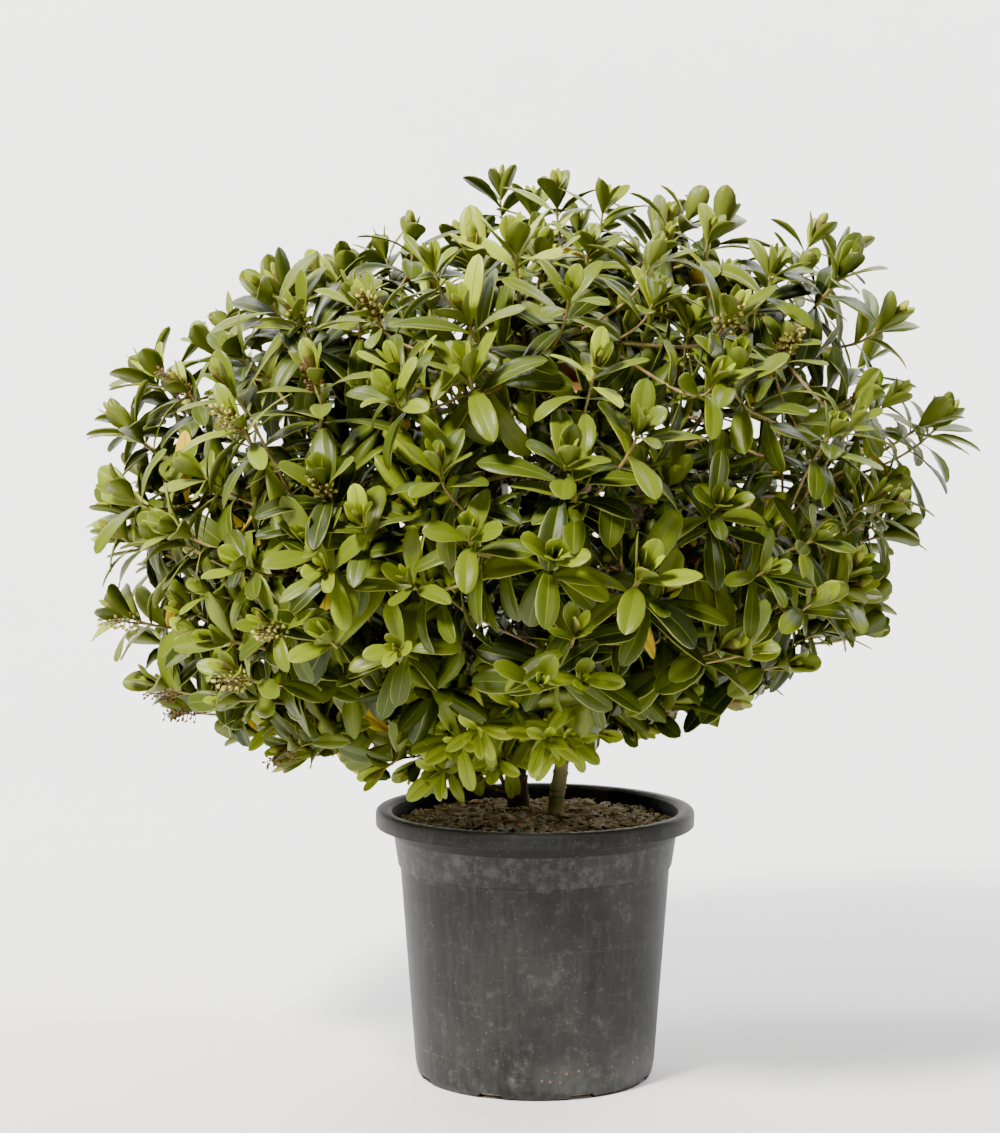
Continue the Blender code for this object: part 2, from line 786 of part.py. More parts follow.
def stem_run(name, root):
    """The mass's stem, from its root out to two thirds of its reach."""
    start, way, radius = root
    middle = MASS_WAYS[name]
    end = HEART + middle * (0.66 * MASSES[name][2])
    arrival = (middle + Vector((0, 0, 0.25))).normalized()
    if name in SPROUTS:
        arrival = (middle + Vector((0, 0, 1.1))).normalized()
    points = grown(start, way, end, arrival, 4, 3 * MM)
    return points, [radius, radius, *evenly(STEM_RADIUS, STEM_END_RADIUS, len(points) - 2)]


def mass_mesh(name, stem, ways, heads, limbs, rng):
    """The stem, a twig for each way with its rosette, and the seed heads that fall near one."""
    maker = MassMaker(name, limbs, rng)
    points, radii = stem
    maker.add_twig(points, radii)
    middle = MASS_WAYS[name]
    size = SPROUT_SIZE if name in SPROUTS else 1
    for way in sorted(ways, key=lambda way: way.angle(middle)):
        axis = (way * 0.85 + Vector((0, 0, 0.42)) + middle * 0.15).normalized()
        tip = HEART + way * reach_of(way) - axis * (TIP_INSET * LEAF_LENGTH * size)
        bend = tip - axis * (SHOOT_LENGTH * size)
        share = 0.97 - 0.55 * way.angle(middle) / MASS_HALF_ANGLE
        feet = [on_run(points, place) for place in (max(0.45, share), 0.8, 0.97)]
        clear = [foot for foot in feet if maker.clear([*between(foot, bend, 8), *between(bend, tip, 4)])]
        if not clear:
            continue
        run = [clear[0], bend, tip]
        maker.add_twig(run, evenly(TWIG_RADIUS, TWIG_END_RADIUS, 3))
        maker.add_rosette(tip, axis, size, rng.uniform(0, math.pi))
        for head in heads:
            if size == 1 and head.angle(way) < SEED_HEAD_ANGLE:
                maker.add_seed_head(bend.lerp(tip, 0.45), head)
                break
    return maker.fuse()


def make_mass(name, stem, ways, heads, limbs, collection, finish):
    """The mass's mesh, from the first of its seeds that makes a sound solid."""
    first = LEAF_SEEDS[name]
    for seed in range(first, first + SEED_TRIES):
        mesh = mass_mesh(name, stem, ways, heads, limbs, random.Random(f"{SEED} {name} {seed}"))
        if mend(mesh):
            return add_mesh(name, mesh, collection, finish)
    raise RuntimeError(f"{name} makes no sound solid")


def main():
    clear_scene()
    plant = new_collection("potted_hebe")
    cutters = new_collection("cutters")
    bark, foliage = material("bark", BARK), material("foliage", FOLIAGE)
    make_pot(plant, cutters, material("plastic", PLASTIC))
    make_soil(plant, material("potting_mix", POTTING_MIX))
    make_limbs_and_masses(plant, bark, foliage)


def make_limbs_and_masses(plant, bark, foliage):
    limbs = make_limbs(plant, bark)
    stems = {name: stem_run(name, root) for name, root in mass_roots(limbs).items()}
    for name, (points, radii) in stems.items():
        Limb(name, points, radii)
    shoots = shoot_ways(SHOOT_COUNT, random.Random(SEED))
    heads = [direction(*angles) for angles in SEED_HEADS]
    for name in MASSES:
        make_mass(name, stems[name], shoots[name], heads, Limb.every, plant, foliage)


main()
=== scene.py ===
"""The looks of a hebe shrub in a black nursery pot, on a studio stage.

The crown grows again from the limbs by the same rule as the solids, with real leaves:
every shoot is a twig with pairs of leaves at right angles to each other and a pressed
pair at its tip. Azimuths run from +X (right) through +Y (back); 270 degrees is the front.
"""

import json
import math
import random

import bmesh
import bpy
import numpy as np
from bpy.props import FloatProperty, FloatVectorProperty, IntProperty
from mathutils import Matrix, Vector, noise

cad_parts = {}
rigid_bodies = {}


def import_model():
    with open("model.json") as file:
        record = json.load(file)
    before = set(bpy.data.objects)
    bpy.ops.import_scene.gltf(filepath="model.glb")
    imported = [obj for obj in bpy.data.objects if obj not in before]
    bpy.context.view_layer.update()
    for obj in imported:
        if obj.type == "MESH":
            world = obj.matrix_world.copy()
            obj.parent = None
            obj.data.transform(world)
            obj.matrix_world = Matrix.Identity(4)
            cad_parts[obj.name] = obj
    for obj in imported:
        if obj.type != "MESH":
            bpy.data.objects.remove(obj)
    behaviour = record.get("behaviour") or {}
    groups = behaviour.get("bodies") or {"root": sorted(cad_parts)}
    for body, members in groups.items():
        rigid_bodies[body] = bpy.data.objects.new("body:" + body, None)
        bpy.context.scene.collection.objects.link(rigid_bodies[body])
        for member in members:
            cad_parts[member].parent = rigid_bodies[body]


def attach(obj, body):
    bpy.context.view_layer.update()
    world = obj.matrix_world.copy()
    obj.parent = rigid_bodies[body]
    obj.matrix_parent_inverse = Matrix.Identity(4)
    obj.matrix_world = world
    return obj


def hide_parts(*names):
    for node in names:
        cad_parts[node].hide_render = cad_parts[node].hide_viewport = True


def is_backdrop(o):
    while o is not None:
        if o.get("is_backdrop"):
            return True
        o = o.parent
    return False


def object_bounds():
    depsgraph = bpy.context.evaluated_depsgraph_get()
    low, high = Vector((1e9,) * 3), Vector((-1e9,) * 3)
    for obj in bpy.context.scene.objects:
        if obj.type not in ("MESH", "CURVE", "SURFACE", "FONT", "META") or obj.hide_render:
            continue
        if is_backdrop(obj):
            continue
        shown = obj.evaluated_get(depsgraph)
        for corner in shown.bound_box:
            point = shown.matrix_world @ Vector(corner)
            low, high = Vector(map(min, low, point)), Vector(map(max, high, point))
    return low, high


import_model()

bl_info = {
    "name": "Potted hebe",
    "version": (1, 0, 0),
    "blender": (4, 5, 0),
    "location": "3D View > Sidebar > Hebe",
    "description": "Grows the leaves, twigs, bark, potting mix and pot of a hebe shrub",
    "category": "Object",
}

CAD_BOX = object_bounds()
MM = 0.001
SEED = 42
UP = np.array((0.0, 0.0, 1.0))

# Pot and potting mix
POT_HEIGHT = 253 * MM
LIP_RADIUS = 150 * MM
LIP_DEPTH = 15.5 * MM
BASE_RADIUS = 111 * MM
COLLAR_TOP_RADIUS = 135.8 * MM
COLLAR_FOOT_RADIUS = 128.6 * MM
COLLAR_FOOT = 199.5 * MM
COLLAR_STEP = 1.8 * MM
POT_WALL = 1.6 * MM
POT_FLOOR = 2.2 * MM
POT_SIDES = 160
DRAIN_COUNT = 8
DRAIN_SIZE = (24 * MM, 25 * MM, 10 * MM)
SOIL_MIDDLE = 242 * MM
SOIL_EDGE = 237.5 * MM

# Crown
SEAT_GAP = 0.3 * MM
HEART = Vector((-0.020, 0.005, 0.450))
LOBE_DEPTH = 0.10
LOBE_SHARPNESS = 22.0
MASS_HALF_ANGLE = math.radians(31)
CLEFT_AZIMUTH = 266.0
CLEFT_HALF_WIDTH = 8.0
CLEFT_ELEVATIONS = (-24.0, 11.0)
LOWEST_ELEVATION = -31.0
UNDERSIDE = 290 * MM
UNDERSIDE_TILT = 28 * MM
UNDERSIDE_RISE = 140 * MM
UNDERSIDE_RADIUS = 400 * MM
LOWEST_LEAF = 268 * MM
STEM_FOOT_RADIUS = 1.8 * MM
STEM_RADIUS = 2.3 * MM
STEM_END_RADIUS = 2.0 * MM

MASSES = {
    "mass_top": (10, 76, 0.425),
    "mass_upper_right": (350, 48, 0.445),
    "mass_upper_back_right": (62, 48, 0.410),
    "mass_upper_back_left": (134, 48, 0.400),
    "mass_upper_left": (198, 51, 0.386),
    "mass_upper_front": (274, 50, 0.405),
    "mass_middle_right": (4, 20, 0.432),
    "mass_middle_back_right": (54, 15, 0.405),
    "mass_middle_back": (101, 16, 0.390),
    "mass_middle_back_left": (146, 15, 0.400),
    "mass_middle_left": (184, 24, 0.420),
    "mass_middle_front_left": (229, 17, 0.400),
    "mass_middle_front": (277, 21, 0.385),
    "mass_middle_front_right": (323, 17, 0.405),
    "mass_lower_right": (349, -7, 0.345),
    "mass_lower_back_right": (44, -13, 0.345),
    "mass_lower_back": (108, -17, 0.355),
    "mass_lower_left": (180, -4, 0.400),
    "mass_lower_front_left": (229, -14, 0.365),
    "mass_lower_front_right": (301, -12, 0.345),
    "mass_skirt_left": (204, -33, 0.280),
    "mass_skirt_right": (331, -33, 0.245),
    "mass_sprout_left": (247, -50, 0.205),
    "mass_sprout_right": (292, -46, 0.180),
}

STEMS = {
    "stem_light": (
        (0.0190, 0.000, SOIL_MIDDLE + SEAT_GAP, 9.2 * MM),
        (0.0190, 0.000, 0.2470, 7.6 * MM),
        (0.0232, 0.000, 0.2800, 6.8 * MM),
        (0.0285, 0.001, 0.3100, 6.6 * MM),
        (0.0360, 0.002, 0.3280, 7.2 * MM),
        (0.0400, 0.002, 0.3370, 7.6 * MM),
    ),
    "stem_dark": (
        (-0.0150, 0.042, SOIL_MIDDLE + SEAT_GAP, 13.0 * MM),
        (-0.0150, 0.042, 0.2480, 10.6 * MM),
        (-0.0162, 0.042, 0.2640, 9.6 * MM),
        (-0.0170, 0.042, 0.2760, 10.4 * MM),
    ),
}
LIMBS = {
    "limb_left": ("stem_dark", (-0.056, 0.026, 0.385), (-0.45, -0.12, 0.88), 5.0 * MM),
    "limb_middle": ("stem_dark", (-0.010, 0.046, 0.400), (0.10, 0.05, 0.99), 4.8 * MM),
}
BOUGHS = {
    "bough_right_low": ("stem_light", ("mass_lower_right", "mass_skirt_right")),
    "bough_right": ("stem_light", ("mass_middle_right", "mass_middle_front_right")),
    "bough_right_top": ("stem_light", ("mass_upper_right", "mass_top")),
    "bough_front_right": ("stem_light", ("mass_lower_front_right", "mass_middle_front")),
    "bough_left_low": ("limb_left", ("mass_lower_left", "mass_skirt_left")),
    "bough_left": ("limb_left", ("mass_middle_left", "mass_upper_left")),
    "bough_front_left": ("limb_left", ("mass_lower_front_left", "mass_middle_front_left")),
    "bough_back_left": ("limb_left", ("mass_middle_back_left", "mass_lower_back")),
    "bough_front_top": ("limb_middle", ("mass_upper_front",)),
    "bough_back": ("limb_middle", ("mass_middle_back", "mass_upper_back_left")),
    "bough_back_right": (
        "limb_middle",
        ("mass_middle_back_right", "mass_upper_back_right", "mass_lower_back_right"),
    ),
}
BOUGH_SHARE = 0.42
BOUGH_TAPER = 0.82
KNUCKLE = 1.25
SPROUTS = {
    "mass_sprout_left": ("stem_dark", 0.258, 250.0),
    "mass_sprout_right": ("stem_light", 0.296, 268.0),
}

# The joined leaf pieces and the masses that each one stands for
LEAF_PIECES = {
    "leaves_top": ("mass_top", "mass_upper_front"),
    "leaves_upper_right": ("mass_upper_right", "mass_upper_back_right"),
    "leaves_upper_left": ("mass_upper_left", "mass_upper_back_left"),
    "leaves_right": ("mass_middle_right", "mass_middle_front_right", "mass_lower_right"),
    "leaves_left": ("mass_middle_left", "mass_lower_left"),
    "leaves_front": ("mass_middle_front", "mass_middle_front_left"),
    "leaves_back": ("mass_middle_back", "mass_middle_back_left", "mass_middle_back_right"),
    "leaves_lower_back": ("mass_lower_back", "mass_lower_back_right"),
    "leaves_lower_front": ("mass_lower_front_left", "mass_lower_front_right"),
    "leaves_skirt": ("mass_skirt_left", "mass_skirt_right", "mass_sprout_left", "mass_sprout_right"),
}

# Pairs of leaves down a shoot: distance from the tip, lean from the twig in degrees, size, curl in
# radians, and the chance that each leaf is still there
PAIRS = (
    (2 * MM, 15, 0.52, 0.20, 1.0),
    (7 * MM, 34, 0.78, 0.45, 1.0),
    (15 * MM, 50, 0.96, 0.70, 1.0),
    (26 * MM, 63, 1.04, 0.85, 1.0),
    (40 * MM, 73, 1.06, 0.90, 0.96),
    (56 * MM, 83, 1.02, 0.80, 0.92),
    (74 * MM, 92, 0.97, 0.65, 0.80),
    (94 * MM, 101, 0.92, 0.55, 0.60),
)
LEAFY_LENGTH = 115 * MM
TIP_INSET = 42 * MM
# The crown's shoulders stand out a little, and its underside is higher in front
SHOULDER = 0.085
FRONT_LIFT = 0.13
# The low sprouts stay clear of the light stem on their right, and this share of them isn't there
SPROUT_LIFT = 34 * MM
SPROUT_SIDE = -18 * MM
SPROUT_LOSS = 0.30

# How the shoots are set: the shake of their even spread, their reach and size as shares of the
# full ones, how far their tips turn up and lean, and the least room under a tip
OUTER_SHAKE = 0.075
INNER_SHAKE = 0.10
OUTER_REACH = (0.93, 1.03)
INNER_REACH = (0.62, 0.84)
SHOOT_SIZE = (0.78, 1.16)
SPROUT_SIZE = 0.74
SHOOT_LIFT = (0.28, 0.62)
SHOOT_LEAN = 0.16
TIP_CLEARANCE = 15 * MM
# How far a mass's stem runs, as a share of the mass's reach
MASS_STEM_SHARE = 0.66

# A twig's radius at its tip, and what it gains over this length back from there
TWIG_TIP_RADIUS = 1.15 * MM
TWIG_GAIN = 0.9 * MM
TWIG_GAIN_LENGTH = 0.14

# Inner shoots have only this many pairs, and these shares of the oldest leaves have turned
INNER_PAIRS = 6
YELLOW_SHARE = 0.045
DEAD_SHARE = 0.02

# Straws and chips on the mix: lowest and highest length, width and thickness in millimetres
STRAW_SHARE = 0.34
STRAW_SIZES = ((10, 28), (0.8, 1.6), (0.5, 1.0))
CHIP_SIZES = ((3, 11), (2, 6), (0.8, 2.6))
# The shares coloured as straw, bark chip, dark chip and pale grit
CHIP_KINDS = (0.56, 0.27, 0.07, 0.10)

# Studio floor and wall, with the bend that joins them
FLOOR_HALF_WIDTH = 16.0
FLOOR_FRONT = -20.0
WALL_PLACE = 3.2
WALL_BEND = 1.2
WALL_TOP = 6.0
BEND_STEPS = 12
# Each lamp's name, place, target, width, power in watts and colour
AIM = (-0.02, 0.0, 0.48)
LAMPS = (
    ("key", (-1.7, -2.3, 3.4), AIM, 0.80, 900, (1.0, 0.96, 0.88)),
    ("fill", (2.6, -2.2, 1.6), AIM, 2.4, 26, (0.92, 0.96, 1.0)),
    ("back", (0.8, 2.2, 2.8), AIM, 1.6, 40, (0.95, 0.98, 1.0)),
    ("wash", (-2.0, 1.0, 2.8), (-0.8, 3.2, 0.9), 1.2, 300, (1.0, 1.0, 1.0)),
    ("wash", (2.0, 1.0, 2.8), (0.8, 3.2, 0.9), 1.2, 300, (1.0, 1.0, 1.0)),
)
SKY_COLOUR = (0.93, 0.96, 1.0, 1)
SKY_STRENGTH = 0.31

# Camera: the picture's height and the focal length in its pixels, and the tilt down in degrees
PICTURE_HEIGHT = 1133
FOCAL_PIXELS = 2897
SENSOR_HEIGHT = 24
CAMERA_PLACE = (-0.0329, -2.70, 0.7036)
CAMERA_TILT = 4.73

# Where each seed head shows, as azimuth and elevation from the heart, and whether it is dry
SEED_HEADS = (
    (226, 47, False), (243, 50, False), (240, 40, True), (243, 26, False),
    (232, 23, False), (206, 33, True), (236, -3, False), (228, -8, False),
    (190, -2, False), (185, -12, True), (193, -10, True), (214, -26, True),
    (306, 47, False), (321, 44, False), (324, 36, False), (341, 33, True),
    (20, 40, False), (60, 20, True), (95, 35, False), (130, 10, False),
    (160, 30, True), (100, -8, False), (30, -5, True),
)


# Shader values


class Value:
    """A shader socket that Python expressions can use."""

    def __init__(self, finish, socket):
        self.finish, self.socket = finish, socket

    def math(self, operation, *values):
        return self.finish.node("ShaderNodeMath", {"operation": operation}, dict(enumerate(values)))

    def __add__(self, other):
        return self.math("ADD", self, other)

    def __radd__(self, other):
        return self.math("ADD", other, self)

    def __sub__(self, other):
        return self.math("SUBTRACT", self, other)

    def __rsub__(self, other):
        return self.math("SUBTRACT", other, self)

    def __mul__(self, other):
        return self.math("MULTIPLY", self, other)

    def __rmul__(self, other):
        return self.math("MULTIPLY", other, self)

    def larger(self, other):
        return self.math("MAXIMUM", self, other)


class Finish:
    """A material and the nodes that vary it over the surface."""

    def __init__(self, name, colour, roughness, **plain):
        self.material = bpy.data.materials.new(name)
        self.material.use_nodes = True
        self.tree = self.material.node_tree
        self.shader = self.tree.nodes["Principled BSDF"]
        self.feed("Base Color", (*colour, 1))
        self.feed("Roughness", roughness)
        for socket, value in plain.items():
            self.feed(socket.replace("_", " "), value)

    def feed(self, socket, value):
        """Give a shader socket a value or a link."""
        self.put(self.shader.inputs[socket], value)

    def put(self, socket, value):
        if isinstance(value, Value):
            self.tree.links.new(value.socket, socket)
        else:
            socket.default_value = value

    def node(self, kind, settings=None, inputs=None, out=0):
        """A node of that kind with its settings and its sockets' values or links. Returns one output."""
        made = self.tree.nodes.new(kind)
        for name, value in (settings or {}).items():
            setattr(made, name, value)
        for key, value in (inputs or {}).items():
            self.put(made.inputs[key], value)
        return Value(self, made.outputs[out])

    def place(self):
        return self.node("ShaderNodeTexCoord", out="Object")

    def stretched(self, x, y, z):
        """Object coordinates scaled by axis."""
        return self.node("ShaderNodeVectorMath", {"operation": "MULTIPLY"}, {0: self.place(), 1: (x, y, z)})

    def height(self):
        return self.node("ShaderNodeSeparateXYZ", inputs={0: self.place()}, out="Z")

    def noise(self, scale, detail=3, rough=0.55, at=None, distort=0):
        inputs = {
            "Vector": at or self.place(),
            "Scale": scale,
            "Detail": detail,
            "Roughness": rough,
            "Distortion": distort,
        }
        return self.node("ShaderNodeTexNoise", inputs=inputs, out="Fac")

    def cells(self, scale):
        """Distance from the middle of the nearest cell."""
        inputs = {"Vector": self.place(), "Scale": scale}
        return self.node("ShaderNodeTexVoronoi", inputs=inputs, out="Distance")

    def step(self, value, low, high):
        """0 below low, 1 above high, smooth between."""
        inputs = {"Value": value, "From Min": low, "From Max": high}
        return self.node("ShaderNodeMapRange", {"interpolation_type": "SMOOTHSTEP"}, inputs)

    def band(self, value, low, high, soft):
        """1 between low and high, fading over soft on both sides."""
        return self.step(value, low - soft, low) * (1 - self.step(value, high, high + soft))

    def mix(self, factor, first, second):
        """A colour between two, each a link or three numbers."""
        ends = [value if isinstance(value, Value) else (*value, 1) for value in (first, second)]
        return self.node("ShaderNodeMix", {"data_type": "RGBA"}, {0: factor, 6: ends[0], 7: ends[1]}, out=2)

    def bump(self, height, distance, strength=1.0):
        inputs = {"Height": height, "Distance": distance, "Strength": strength}
        self.feed("Normal", self.node("ShaderNodeBump", inputs=inputs))


def leaf_finish(name, colour, roughness=0.40):
    """One plain green, with the blade's faint pits in its gloss and relief."""
    finish = Finish(name, colour, roughness, Specular_IOR_Level=0.24)
    grain = finish.noise(420, 3)
    finish.feed("Roughness", roughness - 0.06 + grain * 0.12)
    finish.bump(grain, 0.35 * MM, 0.5)
    return finish.material


def light_bark_finish(colours):
    """Pale grey-yellow bark with darker rings and fine upright streaks."""
    finish = Finish("light_bark", (0.3, 0.25, 0.1), 0.7)
    streaks = finish.noise(160, 4, at=finish.stretched(1, 1, 0.15))
    rings = finish.noise(220, 2, at=finish.stretched(0.12, 0.12, 1.0))
    patches = finish.noise(60, 3)
    colour = finish.mix(finish.step(patches, 0.42, 0.62), colours.light_bark, colours.light_bark_green)
    colour = finish.mix(finish.step(rings, 0.56, 0.70) * 0.75, colour, (0.11, 0.075, 0.035))
    colour = finish.mix(finish.step(streaks, 0.55, 0.75) * 0.45, colour, (0.42, 0.37, 0.24))
    finish.feed("Base Color", colour)
    finish.feed("Roughness", 0.55 + patches * 0.25)
    finish.bump(rings * 0.6 + streaks * 0.4, 0.8 * MM, 0.8)
    return finish.material


def dark_bark_finish(colours):
    """Old dark bark with grey flakes and upright cracks."""
    finish = Finish("dark_bark", (0.08, 0.06, 0.04), 0.85)
    cracks = finish.noise(240, 5, 0.65, at=finish.stretched(1, 1, 0.22), distort=0.6)
    flakes = finish.noise(55, 3)
    colour = finish.mix(finish.step(cracks, 0.38, 0.62), colours.dark_bark, colours.dark_bark_flake)
    colour = finish.mix(finish.step(flakes, 0.52, 0.72) * 0.5, colour, (0.24, 0.20, 0.13))
    finish.feed("Base Color", colour)
    finish.feed("Roughness", 0.72 + cracks * 0.2)
    finish.bump(cracks, 1.2 * MM, 0.9)
    return finish.material


def plastic_finish(colours):
    """Matte black plastic with dust, a paler top edge to the lip, scratches round it, a pale mineral bloom
    and a painted shadow under the lip.
    """
    finish = Finish("black_plastic", (0.04, 0.04, 0.04), 0.55, Specular_IOR_Level=0.24)
    z = finish.height()
    cloud = finish.noise(13, 5, 0.6)
    film = finish.noise(75, 5, 0.72)
    runs = finish.noise(170, 4, 0.7, at=finish.stretched(1, 1, 0.12))
    crumbs = finish.cells(120)
    scratches = finish.noise(75, 4, 0.7, at=finish.stretched(0.10, 0.10, 2.4))
    specks = finish.cells(330)
    grit = finish.noise(600, 2)
    colour = finish.mix(finish.step(cloud, 0.35, 0.68), colours.plastic, colours.plastic_worn)
    colour = finish.mix(finish.step(runs, 0.42, 0.70) * 0.30, colour, (0.046, 0.0455, 0.042))
    dust = finish.step(film, 0.50, 0.76) * 0.16 + finish.step(scratches, 0.60, 0.76) * 0.12
    # The heights are the pot's: the collar starts at 0.1995, the lip at 0.2375, and 0.253 is the top
    collar = finish.band(z, 0.197, 0.231, 0.004) * finish.step(film, 0.44, 0.66)
    foot = (1 - finish.step(z, 0.01, 0.055)) * finish.step(cloud + film * 0.5, 0.62, 0.88)
    bloom = finish.step(cloud * 0.6 + film * 0.6, 0.64, 0.80)
    # The top edge of the lip is made paler, in the dust colour.
    lip_top_band = finish.step(z, 0.2475, 0.2525) * 0.5
    colour = finish.mix(dust.larger(collar * 0.22).larger(lip_top_band * 0.5), colour, colours.dust)
    colour = finish.mix(bloom * 0.07 + foot * 0.12, colour, (0.26, 0.26, 0.24))
    # Painted shadow: a near-black band just under the lip, where the lip's overhang casts shade.
    colour = finish.mix(finish.band(z, 0.2290, 0.2376, 0.0016) * 0.92, colour, (0.002, 0.002, 0.002))
    litter = finish.band(z, 0.014, 0.034, 0.004) * finish.step(cloud, 0.50, 0.60)
    colour = finish.mix((1 - finish.step(crumbs, 0.10, 0.20)) * litter * 0.8, colour, (0.30, 0.13, 0.04))
    dots = (1 - finish.step(specks, 0.06, 0.15)) * finish.step(grit, 0.51, 0.62)
    colour = finish.mix(dots * 0.5, colour, (0.5, 0.48, 0.42))
    earth = (1 - finish.step(z, 0.02, 0.06)) * finish.step(scratches + film, 1.16, 1.32)
    colour = finish.mix(earth * 0.7, colour, (0.19, 0.10, 0.04))
    finish.feed("Base Color", colour)
    finish.feed("Roughness", 0.46 + dust * 0.5 + cloud * 0.12)
    finish.bump(scratches * 0.7 + grit * 0.3, 0.25 * MM, 0.6)
    return finish.material


def earth_finish(name, dark, light):
    """Crumbly brown matter in two tones."""
    finish = Finish(name, dark, 0.95)
    crumbs = finish.noise(260, 5, 0.7)
    patches = finish.noise(45, 3)
    colour = finish.mix(finish.step(crumbs * 0.6 + patches * 0.4, 0.40, 0.62), dark, light)
    finish.feed("Base Color", colour)
    finish.bump(crumbs, 1.5 * MM, 0.9)
    return finish.material


def chip_finish(name, colour):
    """Dry wood and straw: one tone with fine darker grain."""
    finish = Finish(name, colour, 0.8)
    fibres = finish.noise(700, 3)
    dark = [part * 0.55 for part in colour]
    finish.feed("Base Color", finish.mix(finish.step(fibres, 0.42, 0.66), dark, colour))
    finish.bump(fibres, 0.3 * MM, 0.7)
    return finish.material


def old_twig_finish(colours):
    """Brown twig bark with paler upright streaks."""
    finish = Finish("old_twig", colours.old_twig, 0.75)
    grain = finish.noise(300, 3, at=finish.stretched(1, 1, 0.4))
    tone = finish.mix(finish.step(grain, 0.4, 0.65), colours.old_twig, (0.26, 0.19, 0.09))
    finish.feed("Base Color", tone)
    finish.bump(grain, 0.4 * MM, 0.7)
    return finish.material


def young_twig_finish(colours):
    """Yellow-green twig with brown blotches."""
    finish = Finish("young_twig", colours.young_twig, 0.5)
    grain = finish.noise(260, 3)
    tone = finish.mix(finish.step(grain, 0.42, 0.62), colours.young_twig, (0.22, 0.13, 0.06))
    finish.feed("Base Color", tone)
    finish.bump(grain, 0.3 * MM, 0.6)
    return finish.material


# Meshes


def linked(name, data):
    """A new object in the scene."""
    obj = bpy.data.objects.new(name, data)
    bpy.context.scene.collection.objects.link(obj)
    return obj


def mesh_of(shape, name):
    """The bmesh as a mesh. The bmesh is freed."""
    mesh = bpy.data.meshes.new(name)
    shape.to_mesh(mesh)
    shape.free()
    return mesh


def bands(first, count, sides):
    """Faces between count rings of points, whose first point has the number first."""
    here = np.arange(sides)
    after = (here + 1) % sides
    low = (first + np.arange(count - 1) * sides)[:, None]
    faces = np.stack([low + here, low + after, low + sides + after, low + sides + here], axis=-1)
    return faces.reshape(-1, 4)


class Pile:
    """Shapes gathered into one joined mesh."""

    def __init__(self):
        self.points, self.faces, self.slots, self.count = [], [], [], 0

    def add(self, points, *groups):
        """Points, then groups of faces as (rows of corner numbers, one finish number or one a face)."""
        for faces, slot in groups:
            faces = np.asarray(faces, np.int64)
            self.faces.append(faces + self.count)
            self.slots.append(np.broadcast_to(slot, len(faces)))
        self.points.append(np.asarray(points, float))
        self.count += len(points)

    def piece(self, name, finishes, slot, nodes=(), smooth=True):
        """The pile as an object that rides on the plant and stands for the nodes."""
        mesh = bpy.data.meshes.new(name)
        points = np.concatenate(self.points)
        corners = np.concatenate([faces.ravel() for faces in self.faces])
        sizes = np.concatenate([np.full(len(faces), faces.shape[1]) for faces in self.faces])
        mesh.vertices.add(len(points))
        mesh.vertices.foreach_set("co", points.astype(np.float32).ravel())
        mesh.loops.add(len(corners))
        mesh.loops.foreach_set("vertex_index", corners.astype(np.int32))
        mesh.polygons.add(len(sizes))
        starts = np.concatenate([[0], np.cumsum(sizes)[:-1]])
        mesh.polygons.foreach_set("loop_start", starts.astype(np.int32))
        mesh.polygons.foreach_set("material_index", np.concatenate(self.slots).astype(np.int32))
        mesh.polygons.foreach_set("use_smooth", np.full(len(sizes), smooth))
        mesh.update(calc_edges=True)
        for finish in finishes:
            mesh.materials.append(finish)
        return settled(linked(name, mesh), nodes)


def settled(obj, nodes=()):
    """Make the object ride on the plant and stand for the nodes."""
    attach(obj, "root")
    if nodes:
        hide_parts(*nodes)
    return obj


def unit(rows):
    return rows / np.linalg.norm(rows, axis=-1, keepdims=True)


def smooth_run(points, radii, step):
    """The run again on a smooth curve: points about step apart, their radii, and their distance along."""
    points, radii = np.array(points, float), np.array(radii, float)
    at = np.concatenate([[0], np.cumsum(np.linalg.norm(np.diff(points, axis=0), axis=1))])
    slopes = np.gradient(points, at, axis=0)
    want = np.linspace(0, at[-1], max(2, round(at[-1] / step) + 1))
    i = np.clip(np.searchsorted(at, want, side="right") - 1, 0, len(at) - 2)
    span = (at[i + 1] - at[i])[:, None]
    t = (want - at[i])[:, None] / span
    run = (1 + 2 * t) * (1 - t) ** 2 * points[i] + t * t * (3 - 2 * t) * points[i + 1]
    run += span * (t * (1 - t) ** 2 * slopes[i] + t * t * (t - 1) * slopes[i + 1])
    return run, np.interp(want, at, radii), want


def swept(points, radii, sides, relief=None):
    """A tube with closed ends: its points, side faces and end faces. relief changes each ring's radii."""
    ahead = unit(np.gradient(points, axis=0))
    across = np.cross(ahead[0], (0.0, 1.0, 0.0) if abs(ahead[0][1]) < 0.9 else (1.0, 0.0, 0.0))
    turns = np.linspace(0, 2 * math.pi, sides, endpoint=False)
    cosines, sines = np.cos(turns)[:, None], np.sin(turns)[:, None]
    rings = []
    for point, way, size in zip(points, ahead, radii):
        across = unit(across - way * across.dot(way))
        ring = cosines * across + sines * np.cross(way, across)
        radius = size if relief is None else (size * relief(point, ring))[:, None]
        rings.append(point + ring * radius)
    here = np.arange(sides)
    ends = np.array([here[::-1], here + (len(rings) - 1) * sides])
    return np.concatenate(rings), bands(0, len(rings), sides), ends


# How the plant grows


def direction(azimuth, elevation):
    """Unit vector from two angles in degrees."""
    a, e = math.radians(azimuth), math.radians(elevation)
    return Vector((math.cos(e) * math.cos(a), math.cos(e) * math.sin(a), math.sin(e)))


MASS_WAYS = {name: direction(az, el) for name, (az, el, _) in MASSES.items()}


def bezier(p0, p1, p2, p3, count):
    made = []
    for i in range(count):
        t = i / (count - 1)
        s = 1 - t
        made.append(p0 * s**3 + p1 * 3 * s * s * t + p2 * 3 * s * t * t + p3 * t**3)
    return made


def side_ways(way):
    """Two unit vectors square to way and to each other."""
    up = Vector((0, 0, 1)) if abs(way.z) < 0.9 else Vector((0, 1, 0))
    first = way.cross(up).normalized()
    return first, way.cross(first).normalized()


